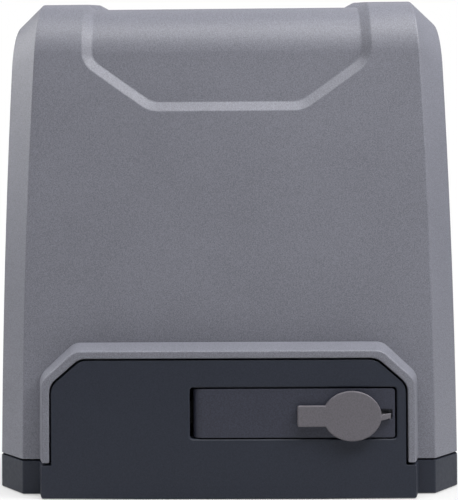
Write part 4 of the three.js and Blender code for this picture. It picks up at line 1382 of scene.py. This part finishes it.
# ---- camera, floor and light -------------------------------------------------------------
PICTURE_HEIGHT = 500
FOCAL = 1299.5               # in the same units as the picture's height
SENSOR = 36
CAMERA_AWAY, CAMERA_HEIGHT = 0.881, 0.150
CAMERA_TURN, CAMERA_ROLL = math.radians(0.3), math.radians(0.335)
AIM_OFF = math.radians(0.9)  # the lens axis points this far beside the object
CAMERA_SHIFT = 0.0007
WHITE_LIGHT = (1, 1, 1, 1)
FADE = (0.11, 0.2)           # from the middle, where the floor starts and ends its fade to white


def studio():
    scene = bpy.context.scene
    lens = bpy.data.cameras.new("camera")
    lens.sensor_fit = "VERTICAL"
    lens.sensor_height = SENSOR
    lens.lens = FOCAL / PICTURE_HEIGHT * SENSOR
    lens.clip_end = 30
    lens.shift_x = FOCAL / PICTURE_HEIGHT * math.tan(AIM_OFF)
    camera = bpy.data.objects.new("camera", lens)
    camera.location = (CAMERA_AWAY * math.sin(CAMERA_TURN) + CAMERA_SHIFT,
                       -CAMERA_AWAY * math.cos(CAMERA_TURN), CAMERA_HEIGHT)
    camera.rotation_euler = (QUARTER, CAMERA_ROLL, CAMERA_TURN + AIM_OFF)
    scene.collection.objects.link(camera)
    scene.camera = camera
    scene.view_settings.view_transform = "Standard"

    floor = turned("floor", "z", (0, 0), [(9000, -3), (9000, -0.5)], 96)
    pale = Shader("pale_floor", (0.6, 0.6, 0.6), 0.7)
    pale.tint(pale.spread(pale.noise(3, 3.0), 0, 1), 0.99, 1.01)
    floor.data.materials.append(pale.material)

    world = bpy.data.worlds.new("studio")
    scene.world = world
    world.use_nodes = True
    tree = world.node_tree
    background = tree.nodes["Background"]
    background.inputs["Color"].default_value = WHITE_LIGHT
    background.inputs["Strength"].default_value = 0.02
    seen = add_node(tree, "LightPath", {}).outputs["Is Camera Ray"]
    white = add_node(tree, "Background", {"Color": WHITE_LIGHT}).outputs["Background"]
    mix = add_node(tree, "MixShader", {"Fac": seen, 1: background.outputs["Background"], 2: white})
    tree.links.new(mix.outputs["Shader"], tree.nodes["World Output"].inputs["Surface"])

    # Away from the object, the floor fades into the white behind it.
    away = pale.node("VectorMath", {0: pale.place}, operation="LENGTH").outputs["Value"]
    seen = pale.node("LightPath", {}).outputs["Is Camera Ray"]
    glow = pale.node("Emission", {"Color": WHITE_LIGHT}).outputs["Emission"]
    fade = pale.math("MULTIPLY", seen, pale.spread(away, 0, 1, *FADE))
    mix = pale.node("MixShader", {"Fac": fade, 1: pale.surface.outputs["BSDF"], 2: glow})
    pale.tree.links.new(mix.outputs["Shader"], pale.tree.nodes["Material Output"].inputs["Surface"])

    def softbox(name, turn, rise, away, size, power):
        """A lamp facing the middle of the object: turned from the front, raised, in degrees and metres."""
        turn, rise = math.radians(turn), math.radians(rise)
        way = Vector((math.sin(turn) * math.cos(rise), -math.cos(turn) * math.cos(rise), math.sin(rise)))
        light = bpy.data.lights.new(name, "AREA")
        light.shape = "RECTANGLE"
        light.size, light.size_y = size
        light.energy = power
        lamp = bpy.data.objects.new(name, light)
        lamp.location = way * away + Vector((0, 0, 0.15))
        lamp.rotation_euler = (-way).to_track_quat("-Z", "Y").to_euler()
        scene.collection.objects.link(lamp)

    softbox("high_front", 0, 65, 1.6, (1.2, 0.6), 19.4)
    softbox("high_right", 60, 50, 1.6, (0.45, 0.45), 16.5)
    softbox("high_left", -60, 50, 1.6, (0.8, 0.8), 4.4)
    softbox("near_right", 75, 38, 0.7, (0.35, 0.35), 2.5)
    softbox("near_left", -106, 36, 0.7, (0.35, 0.35), 1.3)
    softbox("near_left_low", -90, 22, 0.6, (0.25, 0.25), 1.05)
    softbox("left", -120, 12, 1.6, (0.7, 1.2), 1.7)
    softbox("rear", 180, 50, 1.6, (1.2, 0.8), 1.7)


studio()


INNER = {"worm_shaft": STEEL, "rotor_core": LAMINATE, "stator_core": LAMINATE, "front_bearing": STEEL,
         "rear_bearing": STEEL, "worm_lower_bearing": STEEL, "worm_upper_bearing": STEEL}
for name, material in INNER.items():
    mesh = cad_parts[name].data
    mesh.materials.clear()
    mesh.materials.append(material)
